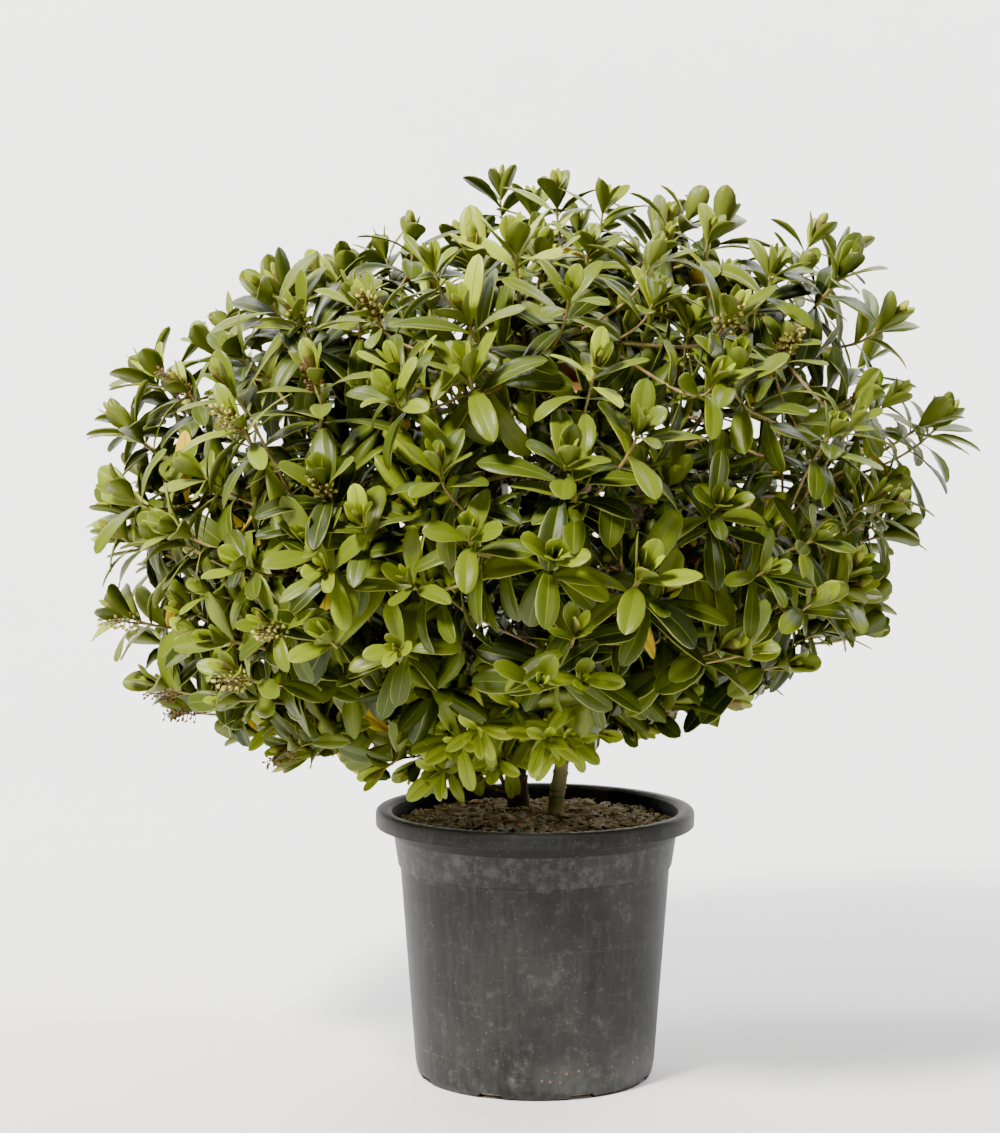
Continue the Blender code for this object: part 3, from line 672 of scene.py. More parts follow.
class Limb:
    """A tapering run of points, and what it grows from."""

    def __init__(self, name, points, radii, parent=None):
        self.name, self.points, self.radii, self.parent = name, points, radii, parent
        self.tip = points[-1]
        self.way = (points[-1] - points[-2]).normalized()
        self.end_radius = radii[-1]


def fork_places(parent, ways):
    """Start point and radius for each child on the parent's tip, in the order of their ways."""
    count = len(ways)
    if count == 1:
        return [(parent.tip + parent.way * SEAT_GAP, 0.9 * parent.end_radius)]
    across, along = side_ways(parent.way)
    angles = [math.atan2(way.dot(along), way.dot(across)) for way in ways]
    order = sorted(range(count), key=lambda i: angles[i])
    step = 2 * math.pi / count
    shifts = [angles[child] - place * step for place, child in enumerate(order)]
    turn = math.atan2(sum(map(math.sin, shifts)), sum(map(math.cos, shifts)))
    packed = math.sin(math.pi / count)
    radius = parent.end_radius * packed / (1 + packed) - 2 * SEAT_GAP
    places = [None] * count
    for place, child in enumerate(order):
        angle = turn + place * step
        offset = across * math.cos(angle) + along * math.sin(angle)
        start = parent.tip + offset * (parent.end_radius - radius) + parent.way * SEAT_GAP
        places[child] = (start, radius)
    return places


def grown(start, way, target, arrival, count, straight):
    """Points that leave start along way, then bend to reach target along arrival."""
    first = start + way * straight
    reach = (target - first).length
    bend = bezier(first, first + way * reach * 0.3, target - arrival * reach * 0.3, target, count)
    return [start, *bend]


def evenly(start, end, count):
    return [start + (end - start) * i / (count - 1) for i in range(count)]


def swollen(start, end, count):
    radii = evenly(start, end, count)
    radii[-1] *= KNUCKLE
    return radii


def reach_of(way):
    """Distance from the heart to the crown's surface: the masses' reaches blended, with dips between."""
    total = weight = 0
    closest = -1
    for name, middle in MASS_WAYS.items():
        near = way.dot(middle)
        closest = max(closest, near)
        share = math.exp(LOBE_SHARPNESS * (near - 1))
        total += share * MASSES[name][2]
        weight += share
    dip = LOBE_DEPTH * min(1, math.acos(min(1, closest)) / MASS_HALF_ANGLE) ** 2
    reach = total / weight * (1 - dip)
    while way.z < 0 and (HEART + way * reach).z < underside(HEART + way * reach):
        reach *= 0.97
    return reach


def underside(point):
    """Height of the crown's bowl-shaped underside above or below the point."""
    across, along = point[0] - HEART.x, point[1] - HEART.y
    radius = math.hypot(across, along)
    tilt = UNDERSIDE_TILT * across / max(radius, LOWEST_LEAF / 2)
    return UNDERSIDE + tilt + UNDERSIDE_RISE * (radius / UNDERSIDE_RADIUS) ** 3


def lowest_leaf(point, sprout):
    """Height below which the shrub has no leaf at the point."""
    if sprout:
        return LOWEST_LEAF + (SPROUT_LIFT if point[0] > SPROUT_SIDE else 0)
    return underside(point) + FRONT_LIFT * max(0, -point[1])


def in_cleft(way):
    """The open place low in the front, where the stems show."""
    azimuth = math.degrees(math.atan2(way.y, way.x)) % 360
    elevation = math.degrees(math.asin(way.z))
    low, high = CLEFT_ELEVATIONS
    return abs(azimuth - CLEFT_AZIMUTH) < CLEFT_HALF_WIDTH and low < elevation < high


def shoot_ways(count, rng, shake):
    """Even, slightly shaken ways over the crown, each with its mass."""
    golden = math.pi * (3 - math.sqrt(5))
    for i in range(count):
        height = 1 - 2 * (i + 0.5) / count
        ring = math.sqrt(1 - height * height)
        way = Vector((ring * math.cos(i * golden), ring * math.sin(i * golden), height))
        way = (way + Vector([rng.uniform(-1, 1) for _ in range(3)]) * shake).normalized()
        name = max(MASS_WAYS, key=lambda mass: way.dot(MASS_WAYS[mass]))
        low = math.degrees(math.asin(way.z)) < LOWEST_ELEVATION and MASSES[name][1] > LOWEST_ELEVATION
        if way.angle(MASS_WAYS[name]) < MASS_HALF_ANGLE and not low and not in_cleft(way):
            yield name, way


class Shoot:
    """A leafy twig: its run of points from foot to tip, and the distance along."""

    def __init__(self, mass, way, run, size, inner):
        self.mass, self.way, self.size, self.inner = mass, way, size, inner
        self.run, _, self.at = smooth_run(run, [1] * len(run), 3.5 * MM)
        self.ahead = unit(np.gradient(self.run, axis=0))

    def back(self, distance):
        """The point and the way ahead at that distance back from the tip."""
        want = max(self.at[-1] - distance, 0)
        point = np.array([np.interp(want, self.at, self.run[:, k]) for k in range(3)])
        ahead = np.array([np.interp(want, self.at, self.ahead[:, k]) for k in range(3)])
        return point, unit(ahead)


class Growth:
    """The limbs and shoots of the whole plant, grown once."""

    made = None

    @classmethod
    def get(cls, sizes):
        if cls.made is None:
            cls.made = cls(sizes)
        return cls.made

    def __init__(self, sizes):
        self.limbs = {}
        self.grow_limbs()
        self.grow_stems()
        rng = random.Random(SEED)
        self.shoots = []
        self.grow_shoots(sizes.outer_shoots, rng, OUTER_SHAKE, OUTER_REACH, False)
        self.grow_shoots(sizes.inner_shoots, rng, INNER_SHAKE, INNER_REACH, True)

    def grow_limbs(self):
        limbs = self.limbs
        for name, rows in STEMS.items():
            limbs[name] = Limb(name, [Vector(row[:3]) for row in rows], [row[3] for row in rows])
        parent = limbs["stem_dark"]
        ways = [Vector(LIMBS[name][1]) - parent.tip for name in LIMBS]
        for name, (start, radius) in zip(LIMBS, fork_places(parent, ways)):
            _, end, arrival, end_radius = LIMBS[name]
            points = grown(start, parent.way, Vector(end), Vector(arrival).normalized(), 5, 5 * MM)
            limbs[name] = Limb(name, points, swollen(radius, end_radius, len(points)), parent)
        for fork in ("stem_light", "limb_left", "limb_middle"):
            names = [name for name, (origin, _) in BOUGHS.items() if origin == fork]
            parent = limbs[fork]
            tips, arrivals = [], []
            for name in names:
                ends = [HEART + MASS_WAYS[mass] * MASSES[mass][2] for mass in BOUGHS[name][1]]
                middle = sum(ends, Vector()) / len(ends)
                tips.append(parent.tip.lerp(middle, BOUGH_SHARE))
                arrivals.append((middle - parent.tip).normalized())
            places = fork_places(parent, [tip - parent.tip for tip in tips])
            for name, tip, arrival, (start, radius) in zip(names, tips, arrivals, places):
                points = grown(start, parent.way, tip, arrival, 5, 4 * MM)
                radii = swollen(radius, radius * BOUGH_TAPER, len(points))
                limbs[name] = Limb(name, points, radii, parent)

    def grow_stems(self):
        """Each mass's stem, from its bough's tip or a main stem's side to two thirds of its reach."""
        self.stems = {}
        for name, (_, masses) in BOUGHS.items():
            parent = self.limbs[name]
            ways = [HEART + MASS_WAYS[mass] * MASSES[mass][2] - parent.tip for mass in masses]
            for mass, (start, _) in zip(masses, fork_places(parent, ways)):
                self.stems[mass] = self.stem(mass, start, parent.way, parent)
        for mass, (stem, height, azimuth) in SPROUTS.items():
            limb = self.limbs[stem]
            heights = [point.z for point in limb.points]
            centre = Vector([np.interp(height, heights, [p[k] for p in limb.points]) for k in range(3)])
            self.stems[mass] = self.stem(mass, centre, direction(azimuth, 0), limb)

    def stem(self, mass, start, way, parent):
        middle = MASS_WAYS[mass]
        end = HEART + middle * (MASS_STEM_SHARE * MASSES[mass][2])
        lift = 1.1 if mass in SPROUTS else 0.25
        points = grown(start, way, end, (middle + Vector((0, 0, lift))).normalized(), 6, 3 * MM)
        return Limb(mass, points, evenly(STEM_RADIUS * 1.15, STEM_END_RADIUS * 0.9, len(points)), parent)

    def grow_shoots(self, count, rng, shake, reaches, inner):
        """Twigs that leave the mass's stem, or an older twig of it, and bend to their tips."""
        ways = list(shoot_ways(count, rng, shake))
        ways.sort(key=lambda pair: pair[1].angle(MASS_WAYS[pair[0]]))
        for mass, way in ways:
            sprout = mass in SPROUTS
            if sprout and rng.random() < SPROUT_LOSS:
                continue
            size = rng.uniform(*SHOOT_SIZE) * (SPROUT_SIZE if sprout else 1)
            middle = MASS_WAYS[mass]
            lift = rng.uniform(*SHOOT_LIFT)
            lean = Vector([rng.uniform(-SHOOT_LEAN, SHOOT_LEAN) for _ in range(3)])
            axis = (way * 0.85 + Vector((0, 0, lift)) + middle * 0.15 + lean).normalized()
            shoulder = SHOULDER * math.sin(math.pi * min(1, max(0, (way.z - 0.25) / 0.7)))
            reach = reach_of(way) * rng.uniform(*reaches) * (1 + shoulder)
            tip = HEART + way * reach - axis * (TIP_INSET * size)
            if tip.z < lowest_leaf(tip, sprout) + TIP_CLEARANCE:
                continue
            foot, from_way = self.foot(mass, tip, axis)
            reach = (tip - foot).length
            run = bezier(foot, foot + from_way * reach * 0.25, tip - axis * reach * 0.42, tip, 8)
            self.shoots.append(Shoot(mass, way, run, size, inner))

    def foot(self, mass, tip, axis):
        """Where a new twig leaves: the nearest place behind it on its mass's stem or twigs."""
        stem = self.stems[mass]
        places = [stem.points[i].lerp(stem.points[i + 1], t) for i in range(1, 6) for t in (0.0, 0.5)]
        places.append(stem.tip)
        for shoot in self.shoots:
            if shoot.mass == mass and not shoot.inner:
                places += [Vector(shoot.run[round(share * (len(shoot.run) - 1))]) for share in (0.25, 0.45)]

        def cost(place):
            gap = tip - place
            return abs(gap.length - 0.12) + 0.5 * max(0, 0.8 * gap.length - gap.dot(axis))

        best = min(places, key=cost)
        gap = (tip - best).normalized()
        return best, (gap + MASS_WAYS[mass] * 0.4).normalized()


# Leaves


class LeafShape:
    """A leaf's outline as stations along it and lines across, with what each face is part of."""

    BLADE, MARGIN, RIB, UNDER = range(4)

    def __init__(self, along, widths, across):
        self.along = np.array(along)
        self.widths = np.array(widths)
        self.across = np.array(across)
        stations, lines = len(along), len(across)
        faces, parts, rows = [], [], []
        step = lines + 1
        for i in range(stations - 1):
            a, b = i * step, (i + 1) * step
            for j in range(lines - 1):
                faces.append((a + j, b + j, b + j + 1, a + j + 1))
                middle = (across[j] + across[j + 1]) / 2
                thin = across[j + 1] - across[j] < 0.2
                line = self.RIB if abs(middle) < 0.1 else self.MARGIN
                parts.append(line if thin else self.BLADE)
                rows.append(i)
            faces.append((a, a + lines, b + lines, b))
            faces.append((a + lines, a + lines - 1, b + lines - 1, b + lines))
            parts += [self.UNDER, self.UNDER]
            rows += [i, i]
        self.faces, self.parts, self.rows = np.array(faces), np.array(parts), np.array(rows)
        self.size = stations * step


FINE_LEAF = LeafShape(
    (0.0, 0.12, 0.30, 0.50, 0.68, 0.84, 0.95, 1.0),
    (0.15, 0.36, 0.70, 0.94, 1.0, 0.84, 0.50, 0.07),
    (-1, -0.925, -0.46, -0.045, 0.045, 0.46, 0.925, 1),
)
PLAIN_LEAF = LeafShape((0.0, 0.25, 0.60, 0.88, 1.0), (0.15, 0.62, 1.0, 0.72, 0.07), (-1, -0.05, 0.05, 1))


class LeafPile:
    """Leaves gathered for one piece, then shaped all at once."""

    def __init__(self):
        self.rows, self.tints = [], []

    def add(self, base, way, face, length, width, bend, fold, twist, wave, tint):
        self.rows.append((*base, *way, *face, length, width, bend, fold, twist, wave))
        self.tints.append(tint)

    def into(self, pile, shape, slots):
        """Shape every leaf. slots gives the finish numbers of a tint's blade, margin, rib and underside,
        and of the half of its underside next to the twig."""
        if not self.rows:
            return
        rows = np.array(self.rows)
        base, way, face = rows[:, None, 0:3], unit(rows[:, None, 3:6]), rows[:, None, 6:9]
        face = unit(face - way * (face * way).sum(-1, keepdims=True))
        side = np.cross(way, face)
        length, width, bend, fold, twist, wave = (rows[:, 9 + k, None] for k in range(6))
        u = shape.along[None, :]
        bend = np.where(np.abs(bend) < 1e-3, 1e-3, bend)
        forward = (np.sin(bend * u) / bend * length)[..., None]
        drop = ((1 - np.cos(bend * u)) / bend * length)[..., None]
        centre = base + way * forward - face * drop
        normal = way * np.sin(bend * u)[..., None] + face * np.cos(bend * u)[..., None]
        turn = (twist * u)[..., None]
        across = side * np.cos(turn) + normal * np.sin(turn)
        normal = normal * np.cos(turn) - side * np.sin(turn)
        half = shape.widths[None, :] * width / 2
        v = shape.across[None, None, :]
        away = np.abs(v)
        rise = fold[..., None] * away**1.4 + 0.10 * np.sin(math.pi * away) - 0.05 * (away > 0.95)
        ripple = 0.10 * np.sin(7.0 * u + wave)[..., None] * v * away
        lift = (rise + ripple) * half[..., None]
        top = centre[:, :, None, :] + across[:, :, None, :] * (half[..., None] * v)[..., None]
        top = top + normal[:, :, None, :] * lift[..., None]
        under = (centre - normal * (0.03 * half + 0.35 * MM)[..., None])[:, :, None, :]
        points = np.concatenate([top, under], axis=2).reshape(-1, 3)
        starts = (np.arange(len(rows)) * shape.size)[:, None, None]
        faces = (shape.faces[None] + starts).reshape(-1, 4)
        table = np.array([slots[tint] for tint in self.tints])
        foot = (shape.parts == shape.UNDER) & (shape.rows < len(shape.along) * 0.5)
        numbers = np.where(foot[None], table[:, 4:], table[:, shape.parts])
        pile.add(points, (faces, numbers.reshape(-1)))


def leaf_finishes(colours):
    """The leaves' finishes, and each tint's numbers as LeafPile.into takes them."""
    names = {
        "deep": colours.leaf_deep,
        "green": colours.leaf_green,
        "olive": colours.leaf_olive,
        "fresh": colours.leaf_fresh,
        "lime": colours.leaf_lime,
        "yellow": colours.leaf_yellow,
        "dead": colours.leaf_dead,
        "margin": colours.margin,
        "rib": colours.rib,
        "under": colours.underside,
        "under_dark": colours.underside_dark,
        "bud": colours.bud,
        "bud_shade": colours.bud_shade,
    }
    order = list(names)
    finishes = [leaf_finish(f"leaf_{name}", colour) for name, colour in names.items()]
    parts = {
        "bud": ("lime", "margin", "bud", "bud", "bud_shade"),
        "yellow": ("yellow", "margin", "rib", "yellow", "yellow"),
        "dead": ("dead", "dead", "dead", "dead", "dead"),
    }
    for tint in ("deep", "green", "olive", "fresh", "lime"):
        under = "under_dark" if tint in ("deep", "green") else "under"
        parts[tint] = (tint, "margin", "rib", under, under)
    slots = {tint: [order.index(name) for name in row] for tint, row in parts.items()}
    return finishes, slots


# Each kind of spray's tints, from its oldest leaves' to its tip's
SPRAY_TINTS = (
    ("deep", "green", "olive"),
    ("green", "olive", "fresh"),
    ("olive", "green", "lime"),
    ("deep", "olive", "fresh"),
    ("green", "olive", "olive"),
)


def add_shoot_leaves(shoot, sizes, rng, leaves):
    """One shoot's pairs of leaves, each at right angles to the last, and the pressed pair at its tip."""
    turn = rng.uniform(0, math.pi)
    spray = rng.choice(SPRAY_TINTS)
    sprout = shoot.mass in SPROUTS
    if sprout:
        spray = ("fresh", "lime", "lime")
    slim = rng.uniform(0.86, 1.14)
    tip, axis = shoot.back(0)
    rows = PAIRS[:INNER_PAIRS] if shoot.inner else PAIRS
    side = unit(np.cross(axis, UP if abs(axis[2]) < 0.95 else np.array((0.0, 1.0, 0.0))))
    for k, (down, lean, share, curl, chance) in enumerate(rows):
        base, ahead = shoot.back(down * shoot.size)
        first = unit(side - ahead * side.dot(ahead))
        second = np.cross(ahead, first)
        for half in range(2):
            if rng.random() > chance:
                continue
            angle = turn + (k + 2 * half) * math.pi / 2 + rng.uniform(-0.22, 0.22)
            out = first * math.cos(angle) + second * math.sin(angle)
            tilt = math.radians(lean + rng.uniform(-9, 9))
            way = unit(ahead * math.cos(tilt) + out * math.sin(tilt) - UP * (0.10 * max(0, k - 3)))
            face = ahead + UP * (0.15 * k) + out * 0.05
            length = sizes.leaf_length * share * shoot.size * rng.uniform(0.86, 1.10)
            end = base + way * length * 0.9 - UP * (0.2 * length * max(0, curl))
            if end[2] < lowest_leaf(end, sprout):
                continue
            width = sizes.leaf_width * (0.75 + 0.25 * share) * shoot.size * slim * rng.uniform(0.92, 1.10)
            tint = spray[min(2, max(0, 2 - k // 2 + rng.choice((-1, 0, 0, 1))))]
            if k > 4 and rng.random() < YELLOW_SHARE:
                tint = "yellow"
            elif k > 5 and rng.random() < DEAD_SHARE:
                tint = "dead"
            bend = curl + rng.gauss(0, 0.22)
            fold = rng.uniform(0.03, 0.24)
            start = base + out * (1.2 * MM)
            twist = rng.gauss(0, 0.22)
            wave = rng.uniform(0, 6.3)
            leaves.add(start, way, face, length, width, bend, fold, twist, wave, tint)
    if shoot.inner:
        return
    length = rng.uniform(0.62, 1.0) * sizes.bud_length * shoot.size
    for half in range(2):
        angle = turn - math.pi / 2 + half * math.pi
        first = unit(side - axis * side.dot(axis))
        out = first * math.cos(angle) + np.cross(axis, first) * math.sin(angle)
        way = unit(axis + out * rng.uniform(0.05, 0.20))
        leaves.add(tip + out * (1.0 * MM), way, -out, length, length * 0.30, 0.10, 0.10, 0, 0, "bud")


# Twigs and seed heads


def node_swelling(at, size):
    """How much a twig swells where its leaf pairs sit, for distances from its tip."""
    swell = np.ones_like(at)
    for down, *_ in PAIRS:
        swell += 0.30 * np.exp(-(((at - down * size) / (2.2 * MM)) ** 2))
    return swell


def capsule(foot, way, length, radius, sides=6):
    """A plump pointed seed capsule: points, four-cornered faces and three-cornered end faces."""
    first, second = side_ways(Vector(way))
    first, second = np.array(first), np.array(second)
    turns = np.linspace(0, 2 * math.pi, sides, endpoint=False)
    ring = np.cos(turns)[:, None] * first + np.sin(turns)[:, None] * second
    levels = ((0.12, 0.45), (0.42, 1.0), (0.74, 0.72))
    points = [foot + way * (length * share) + ring * (radius * wide) for share, wide in levels]
    points = np.concatenate([*points, [foot, foot + way * length]])
    here = np.arange(sides)
    after = (here + 1) % sides
    bottom = np.stack([after, here, np.full(sides, 3 * sides)], axis=-1)
    top = np.stack([here + 2 * sides, after + 2 * sides, np.full(sides, 3 * sides + 1)], axis=-1)
    return points, bands(0, len(levels), sides), np.concatenate([bottom, top])


def add_seed_head(pile, joint, way, rng, dry):
    """A branched spike of capsules on a short stalk. Finish 0 is the capsules', 1 the stalk's and tips'."""
    way = np.array(way)
    first, second = (np.array(v) for v in side_ways(Vector(way)))
    length = rng.uniform(36, 46) * MM
    stalk = np.array([joint, joint + way * length * 0.45, joint + way * length])
    points, radii, _ = smooth_run(stalk, [1.0 * MM, 0.8 * MM, 0.5 * MM], 6 * MM)
    tube, sides, _ = swept(points, radii, 5)
    pile.add(tube, (sides, 1))
    for row in range(9):
        share = 0.26 + 0.74 * row / 8
        for spoke in range(4 if row < 7 else 2):
            angle = row * 0.8 + spoke * math.pi / 2 + rng.uniform(-0.3, 0.3)
            out = first * math.cos(angle) + second * math.sin(angle)
            branch = joint + way * (length * share)
            foot = branch + out * (3.0 + 4.0 * (1 - share)) * MM
            tilt = unit(out * rng.uniform(0.7, 1.0) + way * rng.uniform(0.25, 0.7) + UP * 0.15)
            size = rng.uniform(0.8, 1.1) * (0.72 if dry else 1)
            points, quads, ends = capsule(foot, tilt, 6.4 * MM * size, 1.75 * MM * size)
            part = 1 if dry and rng.random() < 0.3 else 0
            half = len(ends) // 2
            pile.add(points, (quads, part), (ends[:half], part), (ends[half:], 1))
            link, radii, _ = smooth_run([branch, foot], [0.5 * MM, 0.4 * MM], 20 * MM)
            tube, sides, _ = swept(link, radii, 3)
            pile.add(tube, (sides, 1))


# Sizes and colours that can be changed


def colour_property(name, description, default):
    return FloatVectorProperty(
        name=name, description=description, default=default, subtype="COLOR", size=3, min=0, max=1
    )


class HebeSizes(bpy.types.PropertyGroup):
    """Sizes and counts of the shrub's parts."""

    leaf_length: FloatProperty(
        name="Leaf length", description="Length of a grown leaf", default=0.062, unit="LENGTH"
    )
    leaf_width: FloatProperty(
        name="Leaf width", description="Width of a grown leaf", default=0.0195, unit="LENGTH"
    )
    bud_length: FloatProperty(
        name="Tip leaf length",
        description="Length of the pressed pair at a shoot's tip",
        default=0.036,
        unit="LENGTH",
    )
    outer_shoots: IntProperty(
        name="Outer shoots", description="Leafy shoots spread over a whole sphere", default=360, min=50
    )
    inner_shoots: IntProperty(
        name="Inner shoots", description="Shorter shoots inside the crown", default=190, min=0
    )
    chip_count: IntProperty(
        name="Chips", description="Chips and straws on the potting mix", default=1700, min=0
    )


class HebeColours(bpy.types.PropertyGroup):
    """Base colours of the shrub's finishes."""

    leaf_deep: colour_property("Deep leaf", "Oldest, shaded leaves", (0.024, 0.036, 0.0035))
    leaf_green: colour_property("Green leaf", "Grown leaves", (0.052, 0.074, 0.0045))
    leaf_olive: colour_property("Olive leaf", "Grown leaves in the sun", (0.098, 0.130, 0.007))
    leaf_fresh: colour_property("Fresh leaf", "Leaves near a tip", (0.155, 0.200, 0.010))
    leaf_lime: colour_property("Lime leaf", "Youngest open leaves", (0.260, 0.320, 0.020))
    leaf_yellow: colour_property("Yellow leaf", "Leaves about to fall", (0.560, 0.380, 0.018))
    leaf_dead: colour_property("Dead leaf", "Dry leaves", (0.200, 0.090, 0.030))
    margin: colour_property("Leaf margin", "The thin pale edge of a leaf", (0.190, 0.205, 0.026))
    rib: colour_property("Leaf rib", "The pale line down a leaf", (0.125, 0.155, 0.015))
    underside: colour_property("Leaf underside", "Lower side of a young leaf", (0.125, 0.150, 0.020))
    underside_dark: colour_property("Old underside", "The lower side of an old leaf", (0.060, 0.078, 0.010))
    bud: colour_property("Tip pair", "The pressed pair at a shoot's tip", (0.250, 0.275, 0.035))
    bud_shade: colour_property("Tip pair shade", "The flushed foot of the tip pair", (0.165, 0.125, 0.040))
    young_twig: colour_property("Young twig", "Twigs among the leaves", (0.230, 0.190, 0.035))
    old_twig: colour_property("Old twig", "Bare brown twigs", (0.110, 0.062, 0.030))
    light_bark: colour_property("Light bark", "The front stem", (0.330, 0.260, 0.110))
    light_bark_green: colour_property("Greenish bark", "Patches on the front stem", (0.230, 0.220, 0.090))
    dark_bark: colour_property("Dark bark", "The back stem and its limbs", (0.050, 0.036, 0.024))
    dark_bark_flake: colour_property("Bark flakes", "Raised flakes of the dark bark", (0.150, 0.115, 0.075))
    seed_green: colour_property("Green seed head", "Ripening capsules", (0.430, 0.420, 0.090))
    seed_dry: colour_property("Dry seed head", "Old capsules", (0.130, 0.065, 0.030))
    plastic: colour_property("Plastic", "The pot", (0.011, 0.011, 0.0105))
    plastic_worn: colour_property("Worn plastic", "Paler, rubbed plastic", (0.024, 0.0238, 0.022))
    dust: colour_property("Dust", "Dust on the plastic", (0.170, 0.168, 0.155))
    mix_dark: colour_property("Dark potting mix", "Damp, shaded mix", (0.110, 0.078, 0.046))
    mix_light: colour_property("Light potting mix", "Dry mix", (0.520, 0.400, 0.250))
    straw: colour_property("Straw", "Pale straws and chips", (0.860, 0.690, 0.460))
    chip: colour_property("Chip", "Brown bark chips", (0.600, 0.420, 0.240))


def props(context):
    return context.scene.hebe_sizes, context.scene.hebe_colours


# Operators


class HEBE_OT_pot(bpy.types.Operator):
    """Turn the black pot, with its rolled lip, collar and drain slots"""

    bl_idname = "hebe.pot"
    bl_label = "Pot"

    def profile(self):
        """Inside from the floor up, over the rolled lip and down the outside."""
        top, lip_foot = POT_HEIGHT, POT_HEIGHT - LIP_DEPTH
        step = COLLAR_FOOT_RADIUS - COLLAR_STEP
        low = BASE_RADIUS
        return [
            (0, POT_FLOOR),
            (low - POT_WALL - 5 * MM, POT_FLOOR),
            (low - POT_WALL - 1.5 * MM, POT_FLOOR + 3 * MM),
            (step - POT_WALL, COLLAR_FOOT - 1 * MM),
            (step - POT_WALL + 1 * MM, COLLAR_FOOT + 1 * MM),
            (COLLAR_TOP_RADIUS - POT_WALL, top - 7 * MM),
            (COLLAR_TOP_RADIUS - POT_WALL + 0.6 * MM, top - 3 * MM),
            (COLLAR_TOP_RADIUS + 2.0 * MM, top - 0.6 * MM),
            (COLLAR_TOP_RADIUS + 4.0 * MM, top),
            (LIP_RADIUS - 4.0 * MM, top),
            (LIP_RADIUS - 2.2 * MM, top - 0.6 * MM),
            (LIP_RADIUS - 0.6 * MM, top - 2.2 * MM),
            (LIP_RADIUS, top - 4.5 * MM),
            (LIP_RADIUS - 0.3 * MM, lip_foot + 0.5 * MM),
            (LIP_RADIUS - 0.8 * MM, lip_foot),
            (LIP_RADIUS - POT_WALL, lip_foot + 0.3 * MM),
            (LIP_RADIUS - POT_WALL - 0.4 * MM, top - 5 * MM),
            (COLLAR_TOP_RADIUS + 1 * MM, top - 6 * MM),
            (COLLAR_TOP_RADIUS - 0.2 * MM, top - 8 * MM),
            (COLLAR_FOOT_RADIUS + 0.2 * MM, COLLAR_FOOT + 1.2 * MM),
            (COLLAR_FOOT_RADIUS - 0.4 * MM, COLLAR_FOOT),
            (step, COLLAR_FOOT - 0.6 * MM),
            (low + 2.0 * MM, 14 * MM),
            (low + 0.6 * MM, 6.5 * MM),
            (low - 0.6 * MM, 2.6 * MM),
            (low - 2.8 * MM, 0.6 * MM),
            (low - 5.0 * MM, 0),
            (low - 14 * MM, 0),
            (0, 0),
        ]

    def drain(self, turn):
        """A cutter with rounded edges across the corner of the base, at that turn."""
        slot = bmesh.new()
        bmesh.ops.create_cube(slot, size=1)
        bmesh.ops.scale(slot, vec=DRAIN_SIZE, verts=slot.verts)
        gaps = {edge: edge.verts[0].co - edge.verts[1].co for edge in slot.edges}
        along = [edge for edge, gap in gaps.items() if abs(gap.y) < 1e-6 and abs(gap.z) < 1e-6]
        bmesh.ops.bevel(slot, geom=along, offset=2 * MM, segments=3, affect="EDGES")
        out = Vector((math.cos(turn), math.sin(turn), 0))
        facing = out.to_track_quat("X", "Z").to_matrix()
        bmesh.ops.rotate(slot, cent=(0, 0, 0), matrix=facing, verts=slot.verts)
        place = (BASE_RADIUS * math.cos(turn), BASE_RADIUS * math.sin(turn), 0)
        bmesh.ops.translate(slot, vec=place, verts=slot.verts)
        return linked("drain", mesh_of(slot, "drain"))

    def execute(self, context):
        _, colours = props(context)
        shape = bmesh.new()
        verts = [shape.verts.new((radius, 0, height)) for radius, height in self.profile()]
        edges = [shape.edges.new(pair) for pair in zip(verts, verts[1:])]
        bmesh.ops.spin(
            shape,
            geom=verts + edges,
            axis=(0, 0, 1),
            cent=(0, 0, 0),
            steps=POT_SIDES,
            angle=2 * math.pi,
            use_merge=True,
        )
        bmesh.ops.remove_doubles(shape, verts=shape.verts, dist=1e-5)
        bmesh.ops.recalc_face_normals(shape, faces=shape.faces)
        pot = linked("pot_shell", mesh_of(shape, "pot_shell"))
        drains = [self.drain((i + 0.5) * 2 * math.pi / DRAIN_COUNT) for i in range(DRAIN_COUNT)]
        for drain in drains:
            cut = pot.modifiers.new("drain", "BOOLEAN")
            cut.operation = "DIFFERENCE"
            cut.object = drain
            cut.solver = "EXACT"
        graph = context.evaluated_depsgraph_get()
        mesh = bpy.data.meshes.new_from_object(pot.evaluated_get(graph))
        pot.modifiers.clear()
        pot.data = mesh
        for drain in drains:
            bpy.data.objects.remove(drain)
        mesh.materials.clear()
        mesh.materials.append(plastic_finish(colours))
        mesh.shade_smooth()
        mesh.set_sharp_from_angle(angle=math.radians(40))
        settled(pot, ["pot"])
        return {"FINISHED"}


def soil_height(x, y):
    """Height of the potting mix: a low mound round the stems, lumps, and a lower rim."""
    radius = math.hypot(x, y)
    mound = 3.0 * MM * math.exp(-((radius / (45 * MM)) ** 2))
    fall = (SOIL_MIDDLE - SOIL_EDGE) * min(1, max(0, (radius - 70 * MM) / (60 * MM)))
    lumps = 2.2 * MM * noise.noise(Vector((x, y, 0.3)) * 45)
    crumbs = 1.2 * MM * noise.noise(Vector((x, y, 1.7)) * 140)
    return SOIL_MIDDLE + mound - fall + (lumps + crumbs)


